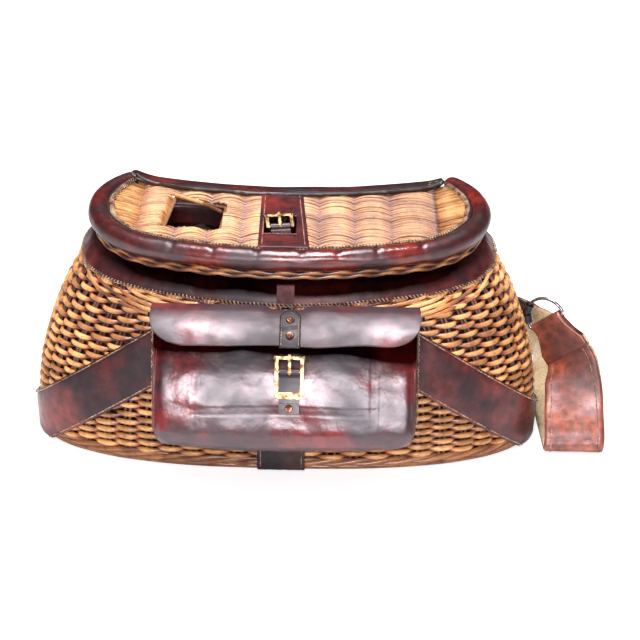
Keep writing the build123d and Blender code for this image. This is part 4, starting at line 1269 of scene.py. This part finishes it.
profile = [(y / 1000, z / 1000) for y, z in through(front_knots, 64)]
front_edge = profile[-1][0]
rows = []
for number, (front_y, z) in enumerate(profile + [(0, 0)] * floor_rows):
    under = number - len(profile) + 1
    if under > 0:
        z = pouch_floor - 0.0002 * under
    drop = max(0.0, pouch_floor + pouch_round - z)
    half_width = pouch_half - pouch_round + (max(0.0, pouch_round**2 - drop**2)) ** 0.5
    half_width = max(half_width, pouch_half - pouch_round * 0.85)
    if under > 0:
        half_width -= 0.0004 * under
    row = []
    for k in range(last_column + 1):
        if k < side_columns:
            x, share = -half_width, k / side_columns
        elif k > last_column - side_columns:
            x, share = half_width, (last_column - k) / side_columns
        else:
            x, share = half_width * (2 * (k - side_columns) / front_columns - 1), 1.0
        height = z + 0.008 * max(0.0, (z - pouch_floor) / 0.073) * (1 - share)
        if k == 0 or under > 0:
            back = wall_front(max(-0.13, min(0.13, x)), height, 0.0024).y
        y = front_y
        if under > 0:
            y = front_edge + (min(back, 0) - front_edge) * (under / floor_rows) ** 0.9
            y = y if share == 1.0 else back + (y - back) * share
        elif share < 1.0:
            y = back + (front_y - back) * share
        from_corner = min(abs(k - side_columns), abs(k - (last_column - side_columns)))
        inward = 0.0030 * exp(-((from_corner / 3.2) ** 2)) * (1 if under <= 0 else 0.3)
        x -= copysign(inward, x) if abs(x) > half_width * 0.8 else 0
        y += 0.7 * inward
        height += 0.0050 * (abs(x) / pouch_half) ** 2 * max(0.0, 1 - max(0.0, height - pouch_floor) / 0.045)
        spot = Vector((x, y, height))
        if under <= 0:
            spot.y -= pouch_wrinkle(x, height) * min(1.0, share * 2)
        row.append(spot)
    rows.append(list(reversed(row)))
pouch = slab("pouch_body", rows, 0.0021, pouch_skin, (), 0.0006)
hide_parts("pouch_front")
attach(pouch, "basket")
dress("pouch_back", dark_leather)

side_seam = []
for side in (-1, 1):
    line = []
    for front_y, z in profile[2:-6]:
        back = wall_front(side * 0.0955, z, 0.0024).y
        point = Vector((side * 0.0972, back + 0.10 * (front_y - back), z + 0.004))
        line.append((point, Vector((side, -0.4, 0)).normalized()))
    side_seam += running_stitches(line, 0.0006, 0.0030, 0.0009, 0.00055)
pouch_seam = grow_rods("pouch_seam", side_seam, thread, 5)
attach(pouch_seam, "basket")

# Flap: a second sheet of oxblood leather comes forward from just below the collar and closes the
# pouch. Its edge is left raw and has gone wavy.
flap_axis, flap_lip = Vector((0, -0.061, 0.1248)), Vector((0, -0.0945, 0.1115))
flap_bulge, flap_half = 0.003, 0.098
flap_corner = 0.030        # how far from its ends the flap begins to round off
flap_across = (flap_lip - flap_axis).normalized()
flap_up = Vector((0, flap_across.z, -flap_across.y))
flap_reach = (flap_lip - flap_axis).length


def on_flap(x, share, lift):
    """Point over the flap: across, from its hinge to its lip, and up from its middle."""
    bend = flap_bulge * 4 * share * (1 - share)
    slope = flap_bulge * 4 * (1 - 2 * share) / flap_reach
    up = (flap_up - slope * flap_across).normalized()
    point = flap_axis + flap_across * flap_reach * share + flap_up * bend + up * lift
    return Vector((x, point.y, point.z))


rows = []
for i in range(37):
    row = []
    for k in range(121):
        x = flap_half * (2 * k / 120 - 1)
        near = max(0.0, abs(x) - (flap_half - flap_corner)) / flap_corner
        end = 1.04 - 0.60 * (1 - max(0.0, 1 - near**2.2) ** 0.45) + 0.05 * noise.noise((x * 24, 0.5, 0))
        notch = 0.10 * exp(-(((x - 0.001) / 0.014) ** 6))
        share = notch + (end - notch) * i / 36
        lift = 0.0010 * min(1.0, share / 0.25) + 0.0011 * noise.noise((x * 26, share * 1.6, 2.0)) * share
        lift += 0.0005 * noise.noise((x * 90, share * 3.5, 6.0)) * share
        lift -= 0.0022 * exp(-(((x - 0.001) / 0.016) ** 6) - (share / 0.34) ** 2)
        row.append(on_flap(x, share, lift))
    rows.append(row)
flap_skin = leather_finish(
    "flap_leather", paint(50, 24, 34), paint(80, 40, 48), paint(126, 54, 54), 0.38, 20.0, 0.75, 0.8
)
flap = slab("pouch_flap_leather", rows, 0.0020, flap_skin, (), 0.0006)
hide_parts("pouch_flap")
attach(flap, "flap")

# Tab: a short strap of dark leather, cracked across, is stitched and riveted down the middle of the
# flap, and the pouch's buckle takes it.
tab_x, tab_half = 0.0037, 0.00735
tab_start, tab_end = 0.28, 1.09        # shares of the way from the flap's hinge to its lip
rows = []
for i in range(25):
    share = tab_start + (tab_end - tab_start) * i / 24
    half = tab_half * max(0.45, 1 - max(0.0, (0.44 - share) / 0.16) ** 2.5) ** 0.7
    row = []
    for k in range(13):
        side = 2 * k / 12 - 1
        crack = 0.0009 * exp(-(((share - 0.70 + 0.04 * side) / 0.025) ** 2))
        lift = 0.0028 - 0.0005 * abs(side) ** 4 - crack + 0.0002 * noise.noise((k * 0.9, i * 0.7, 0))
        row.append(on_flap(tab_x + half * side, share, lift))
    rows.append(row)
tab = slab("flap_tab_leather", rows, 0.0018, dark_leather)
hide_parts("flap_tab")
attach(tab, "flap")


def tab_upright(share):
    """Direction straight out of the tab at a place down it."""
    return (on_flap(tab_x, share, 1) - on_flap(tab_x, share, 0)).normalized()


tab_edges = []
for side in (-1, 1):
    edge = tab_x + side * (tab_half - 0.0011)
    line = [(on_flap(edge, share, 0.0043), tab_upright(share)) for share in steps(0.46, 1.05, 20)]
    tab_edges += running_stitches(line, 0.0, 0.0016, 0.0007, 0.00034)
tab_edges = grow_rods("flap_tab_stitches", tab_edges, thread, 5)
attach(tab_edges, "flap")

# Bottom strap: a short strap of dark leather comes out from under the pouch and runs down to the
# foot of the basket, sewn down both sides.
bottom_x, bottom_half = -0.0025, 0.0178
rows = []
for z in reversed(steps(0.0012, 0.0320, 20)):
    i = 20 - len(rows)
    row = []
    for k in reversed(range(25)):
        side = 2 * k / 24 - 1
        lump = 0.0004 * noise.noise((k * 0.4, i * 0.3, 5))
        row.append(wall_front(bottom_x + bottom_half * side, z, 0.0023 + lump))
    rows.append(row)
bottom_tab = slab("pouch_bottom_strap", rows, 0.0020, dark_leather)
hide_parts("pouch_bottom_tab")
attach(bottom_tab, "basket")
outward = Vector((0, -1, 0.15)).normalized()
bottom_seam = []
for x in (-0.0178, 0.0128):
    line = [(wall_front(x, z, 0.0026), outward) for z in steps(0.003, 0.029, 12)]
    bottom_seam += running_stitches(line, 0.0000, 0.0024, 0.0008, 0.00042)
bottom_seam = grow_rods("bottom_strap_stitches", bottom_seam, thread, 5)
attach(bottom_seam, "basket")

# Hanger and chapes: a short strap of worn leather comes down from the collar to the pouch, and
# folded bits of dark leather hold both buckles.
hanger_leather = leather_finish(
    "hanger_leather", paint(44, 18, 22), paint(84, 38, 38), paint(112, 52, 48), 0.5, 24.0, 0.0
)
dress("pouch_hanger", hanger_leather)
for label in ("pouch_buckle_chape", "pouch_chape_foot", "lid_buckle_chape"):
    dress(label, dark_leather)

# Side straps: two wide straps of oxblood leather run from the pouch round the body of the basket,
# each sewn along both edges with pale thread.
strap_middle = Vector((-0.0995, -0.0755, 0.0868))
strap_across = Vector((0.520, -0.273, -0.809)).normalized()
strap_face = 0.0023        # from the basket's skin to the strap's face
side_half, seam_lane = 0.019, 0.0172
turn_step = radians(0.1)


def skin_point(angle, lane):
    """Point on the left strap: a turn round the basket, and a distance across the strap."""
    low, high = 0.004, 0.93

    def offset(level):
        return (basket_point(level, angle, strap_face) - strap_middle).dot(strap_across) - lane

    if offset(low) < 0 or offset(high) > 0:
        return None
    for _ in range(24):
        level = (low + high) / 2
        if offset(level) > 0:
            low = level
        else:
            high = level
    return basket_point(level, angle, strap_face)


def lane_ends(lane):
    """Turns at which a lane of the left strap leaves the pouch and reaches the ground or its rear end."""
    angle = radians(-115)
    while skin_point(angle, lane) is None or skin_point(angle, lane).x > -0.0963:
        angle -= turn_step
    first = angle
    while True:
        point = skin_point(angle - turn_step, lane)
        if point is None or point.z < 0.0012 or point.y > 0.022:
            return first, angle
        angle -= turn_step


def lane_line(lane, count):
    """Points along a lane of the left strap, each with the direction straight out of the leather."""
    first, last = lane_ends(lane)
    points = [skin_point(first + (last - first) * i / count, lane) for i in range(count + 1)]
    return [(point, Vector((point.x, point.y * 1.5, 0)).normalized()) for point in points]


for side, label in ((1, "left"), (-1, "right")):
    lanes = []
    for k in range(21):
        line = []
        for point, out in lane_line(side_half * (2 * k / 20 - 1), 120):
            lump = 0.0007 * noise.noise(point * 32) + 0.0003 * noise.noise(point * 110)
            point = point + out * (lump + 0.0003 - 0.0008 * (abs(k - 10) / 10) ** 8)
            line.append(Vector((side * point.x, point.y, point.z)))
        lanes.append(line)
    if side < 0:
        lanes.reverse()
    strap = slab("side_strap_leather_" + label, lanes, 0.0020, oxblood, (), 0.0006)
    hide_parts("side_strap_" + label)
    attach(strap, "basket")
    seams = []
    for lane in (-seam_lane, seam_lane):
        line = []
        for point, out in lane_line(lane, 100):
            line.append((Vector((side * point.x, point.y, point.z)), Vector((side * out.x, out.y, 0))))
        seams += running_stitches(line, 0.0006, 0.0027, 0.0009, 0.00048)
    seams = grow_rods("side_strap_stitches_" + label, seams, thread, 5)
    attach(seams, "basket")

# Buckles, rivets and rings: the buckles are brass, and the one on the lid is long tarnished. The
# rivets are copper, and the two rings that carry the shoulder strap are steel.
def metal_finish(name, colour, tarnish, roughness):
    """Worn metal with darker tarnish in patches."""
    material, nodes, link, skin = fresh_finish(name)
    coordinates = nodes.new("ShaderNodeTexCoord").outputs["Object"]
    cloud = speckle(nodes, link, coordinates, 260.0, 4.0)
    tone = ramp(nodes, ((0.36, tarnish), (0.56, colour)))
    link(cloud, tone.inputs["Fac"])
    link(tone.outputs["Color"], skin.inputs["Base Color"])
    shine = ramp(nodes, ((0.35, (roughness + 0.22,) * 3 + (1,)), (0.6, (roughness,) * 3 + (1,))))
    link(cloud, shine.inputs["Fac"])
    link(shine.outputs["Color"], skin.inputs["Roughness"])
    skin.inputs["Metallic"].default_value = 1.0
    return material


brass = metal_finish("brass", paint(190, 160, 112), paint(110, 86, 56), 0.28)
copper = metal_finish("copper", paint(150, 104, 84), paint(74, 50, 44), 0.34)
steel = metal_finish("steel", paint(200, 202, 206), paint(120, 120, 124), 0.2)
dull_brass = metal_finish("dull_brass", paint(150, 124, 86), paint(84, 64, 44), 0.36)
for label, finish in (("pouch_buckle", brass), ("lid_buckle", dull_brass)):
    dress(label + "_frame", finish)
    dress(label + "_prong", finish)
dress("chape_rivet", copper)

rivet_section = (        # radius, height: a washer with the hammered end of the rivet in it
    (0.0031, -0.0008), (0.0031, 0.0004), (0.0029, 0.0009), (0.0024, 0.0012), (0.0019, 0.0011),
    (0.0015, 0.0013), (0.0008, 0.0015), (0.0002, 0.0015),
)
level = Vector((1, 0, 0))
for number, share in enumerate((0.52, 0.86)):
    head = on_flap(tab_x, share, 0.0045)
    axis = tab_upright(share)
    down = axis.cross(level)
    spokes = [level * cos(pi * k / 12) + down * sin(pi * k / 12) for k in range(24)]
    rings = [[head + axis * height + radius * spoke for spoke in spokes] for radius, height in rivet_section]
    rivet = closed_ring("flap_rivet_%d" % (number + 1), rings, copper, closed=False)
    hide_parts("flap_rivets")
    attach(rivet, "flap")
for label in ("ring_right", "ring_left"):
    dress(label, steel)
for label in ("ring_anchors_right", "ring_anchors_left"):
    dress(label, dark_leather)

# Shoulder strap: thick red-brown leather lined with wool felt. It hangs from the right ring, folds
# under itself, runs back and climbs to the left ring.
strap_skin = leather_finish(
    "strap_leather", paint(112, 52, 36), paint(160, 82, 60), paint(198, 116, 84), 0.32, 30.0, 0.6, 1.0
)
felt, nodes, link, skin = fresh_finish("wool_felt")
felt_coordinates = nodes.new("ShaderNodeTexCoord").outputs["Object"]
fibre = speckle(nodes, link, felt_coordinates, 700.0)
soil = speckle(nodes, link, felt_coordinates, 40.0)
felt_stops = ((0.34, paint(150, 124, 84)), (0.5, paint(206, 184, 140)), (0.7, paint(226, 208, 168)))
felt_tone = ramp(nodes, felt_stops)
link(soil, felt_tone.inputs["Fac"])
fibre_tone = ramp(nodes, ((0.3, (0.6, 0.58, 0.55, 1)), (0.6, (1.1, 1.1, 1.1, 1))))
link(fibre, fibre_tone.inputs["Fac"])
felt_colour = felt_tone.outputs["Color"]
felt_colour = blend_colours(nodes, link, "MULTIPLY", 0.9, felt_colour, fibre_tone.outputs["Color"])
link(felt_colour, skin.inputs["Base Color"])
skin.inputs["Roughness"].default_value = 0.95
skin.inputs["Sheen Weight"].default_value = 0.3
link(bump_on(nodes, link, fibre, 1.0, 0.0006), skin.inputs["Normal"])

ring_height, ring_rise = 0.0845, radians(42)


def ring_frame(x, y, heading):
    """Middle, bar direction, strap-side direction and normal of a ring's plane."""
    heading = radians(heading)
    outward = Vector((cos(heading), sin(heading), 0))
    bar = outward * cos(ring_rise) + Vector((0, 0, sin(ring_rise)))
    normal = Vector((sin(heading), -cos(heading), 0))
    return Vector((x, y, ring_height)), bar, normal.cross(bar), normal


right_at, right_bar, right_top, right_normal = ring_frame(0.2030, 0.0035, -35)
left_at, left_bar, left_top, left_normal = ring_frame(-0.1626, 0.0906, 88)
lying, standing = 0.0030, 0.0229        # height of the strap's middle, flat on the ground and on its edge
fold_length = 0.030                     # from a ring's middle to the end of the fold round it
strap_path = [                          # point, heading, direction across, width
    (right_at - fold_length * right_top, -right_top, right_bar, 0.042),
    ((0.2222, -0.0235, 0.046), (0.12, -0.57, -0.80), (0.92, -0.18, 0.30), 0.0435),
    ((0.2225, -0.0415, 0.025), (0, -0.58, -0.80), (1, 0, 0.06), 0.0455),
    ((0.2225, -0.0515, 0.0130), (0, -0.45, -0.88), (1, 0, 0), 0.046),
    ((0.222, -0.0545, 0.0076), (0, -0.20, -0.98), (1, 0, 0), 0.046),
    ((0.222, -0.0535, 0.0042), (0, 0.71, -0.71), (1, 0, 0), 0.045),
    ((0.222, -0.0495, lying), (0, 1, 0), (1, 0, 0), 0.045),
    ((0.222, -0.010, lying), (0, 1, 0), (1, 0, 0), 0.045),
    ((0.222, 0.030, lying + 0.0005), (0, 1, 0), (1, 0, 0.03), 0.045),
    ((0.221, 0.075, 0.016), (-0.15, 0.98, 0.1), (0.80, 0, 0.60), 0.045),
    ((0.218, 0.092, 0.023), (-0.32, 0.94, 0.05), (0.35, 0, 0.94), 0.045),
    ((0.212, 0.106, standing), (-0.50, 0.86, 0), (0, 0, 1), 0.045),
    ((0.203, 0.119, standing), (-0.70, 0.71, 0), (0, 0, 1), 0.045),
    ((0.190, 0.130, standing), (-0.85, 0.50, 0), (0, 0, 1), 0.045),
    ((0.174, 0.137, standing), (-0.95, 0.30, 0), (0, 0, 1), 0.045),
    ((0.155, 0.141, standing), (-1, 0.10, 0), (0, 0, 1), 0.045),
    ((0.060, 0.143, standing), (-1, 0, 0), (0, 0, 1), 0.045),
    ((-0.040, 0.143, standing), (-1, 0, 0), (0, 0, 1), 0.045),
    ((-0.095, 0.143, standing + 0.001), (-1, -0.02, 0.08), (0.05, 0.02, 1), 0.045),
    ((-0.125, 0.1405, standing + 0.006), (-0.90, -0.25, 0.30), (0.20, 0.15, 0.97), 0.045),
    ((-0.145, 0.1325, standing + 0.016), (-0.62, -0.55, 0.55), (0.18, 0.40, 0.90), 0.045),
    ((-0.157, 0.1215, standing + 0.028), (-0.25, -0.68, 0.69), (0.10, 0.62, 0.78), 0.044),
    (left_at - fold_length * left_top, left_top, left_bar, 0.042),
]


def strap_rows(stations, per_span):
    """Sections of the strap on a smooth curve through its stations: middle, across, outward, width."""
    made = []
    for (p, head_p, across_p, wide_p), (q, head_q, across_q, wide_q) in zip(stations, stations[1:]):
        p, q = Vector(p), Vector(q)
        head_p, head_q = Vector(head_p).normalized(), Vector(head_q).normalized()
        across_p, across_q = Vector(across_p).normalized(), Vector(across_q).normalized()
        span = (q - p).length
        for i in range(per_span):
            t = i / per_span
            a, b, c, d = 2 * t**3 - 3 * t**2 + 1, t**3 - 2 * t**2 + t, -2 * t**3 + 3 * t**2, t**3 - t**2
            heading = head_p.lerp(head_q, t).normalized()
            across = across_p.lerp(across_q, t).normalized()
            middle = a * p + b * span * head_p + c * q + d * span * head_q
            made.append((middle, across, heading.cross(across).normalized(), wide_p + (wide_q - wide_p) * t))
    last = stations[-1]
    heading, across = Vector(last[1]).normalized(), Vector(last[2]).normalized()
    made.append((Vector(last[0]), across, heading.cross(across).normalized(), last[3]))
    return made


def strap_layer(name, sections, low, high, narrower, material, bumps):
    """Layer of the strap between two heights above its middle, a closed tube of rounded sections."""
    rings = []
    for number, (middle, across, outward, width) in enumerate(sections):
        half = width / 2 - narrower
        share = min(number, len(sections) - 1 - number) / 6
        top, bottom = [], []
        for k in range(25):
            side = 2 * k / 24 - 1
            lump = noise.noise((side * 1.6, number * 0.21, 4.0))
            lump += 0.5 * noise.noise((side * 4, number * 0.7, 1.0))
            lump *= bumps * min(1.0, share)
            ease = 0.0007 * max(0.0, (abs(side) - 0.9) / 0.1) ** 2
            top.append(middle + across * half * side + outward * (high + lump - ease))
            bottom.append(middle + across * half * side + outward * (low + ease))
        rings.append(top + list(reversed(bottom)))
    return closed_ring(name, rings, material, closed=False)


sections = strap_rows(strap_path, 8)
strap_body = strap_layer("shoulder_strap_leather", sections, -0.0002, 0.0026, 0.0, strap_skin, 0.0004)
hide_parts("shoulder_strap")
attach(strap_body, "basket")
strap_felt = strap_layer("shoulder_strap_felt", sections, -0.0027, -0.00025, -0.0003, felt, 0.0002)
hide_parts("shoulder_strap_lining")
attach(strap_felt, "basket")

# Strap ends: each end of the leather is folded round its ring's bar and sewn back on itself, and the
# felt stops short inside the fold. Down is measured from the bar and out from the ring's plane.
fold_radius = 0.0039
fold_back = 0.0265        # from the end of the fold to where it meets the bar
fold_line = [(fold_length - fold_back * i / 10, 0.0026 + 0.0004 * (i / 10) ** 2) for i in range(11)]
fold_line += [(-fold_radius * sin(pi * i / 10), fold_radius * cos(pi * i / 10)) for i in range(11)]
fold_line += [(0.0035 + 0.0185 * i / 8, -0.0030 + 0.0004 * i / 8) for i in range(9)]
fold_line += [(0.0221, -0.0003), (fold_length, -0.0002)]
felt_half, felt_face, felt_back = 0.0212, -0.0003, -0.0027
for label, at, bar, top, normal in (
    ("right", right_at, right_bar, right_top, right_normal),
    ("left", left_at, left_bar, left_top, -left_normal),
):
    rings = []
    for k in range(25):
        side = 2 * k / 24 - 1
        ring = []
        for down, out in fold_line:
            half = 0.014 + 0.007 * min(1.0, max(0.0, (down - 0.006) / 0.016)) ** 1.2
            ring.append(at + bar * half * side - top * down + normal * out)
        rings.append(ring)
    end_piece = closed_ring("shoulder_strap_fold_" + label, rings, strap_skin, closed=False)
    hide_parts("shoulder_strap_end_" + label)
    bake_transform(end_piece)
    rings = []
    for i in range(7):
        down = 0.0222 + 0.0078 * i / 6
        corners = (
            (-felt_half, felt_face), (felt_half, felt_face), (felt_half, felt_back), (-felt_half, felt_back)
        )
        rings.append([at + bar * a - top * down + normal * b for a, b in corners])
    end_felt = closed_ring("shoulder_strap_fold_felt_" + label, rings, felt, closed=False)
    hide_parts("shoulder_strap_end_" + label)
    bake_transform(end_felt)

# Both edges of the strap are sewn along with pale thread.
seam_inset = 0.0052
seams = []
for side in (-1, 1):
    line = []
    for middle, across, outward, width in sections:
        line.append((middle + across * side * (width / 2 - seam_inset), outward))
    seams += running_stitches(line, 0.0027, 0.0030, 0.0008, 0.00036)
strap_seams = grow_rods("shoulder_strap_stitches", seams, thread, 5)
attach(strap_seams, "basket")
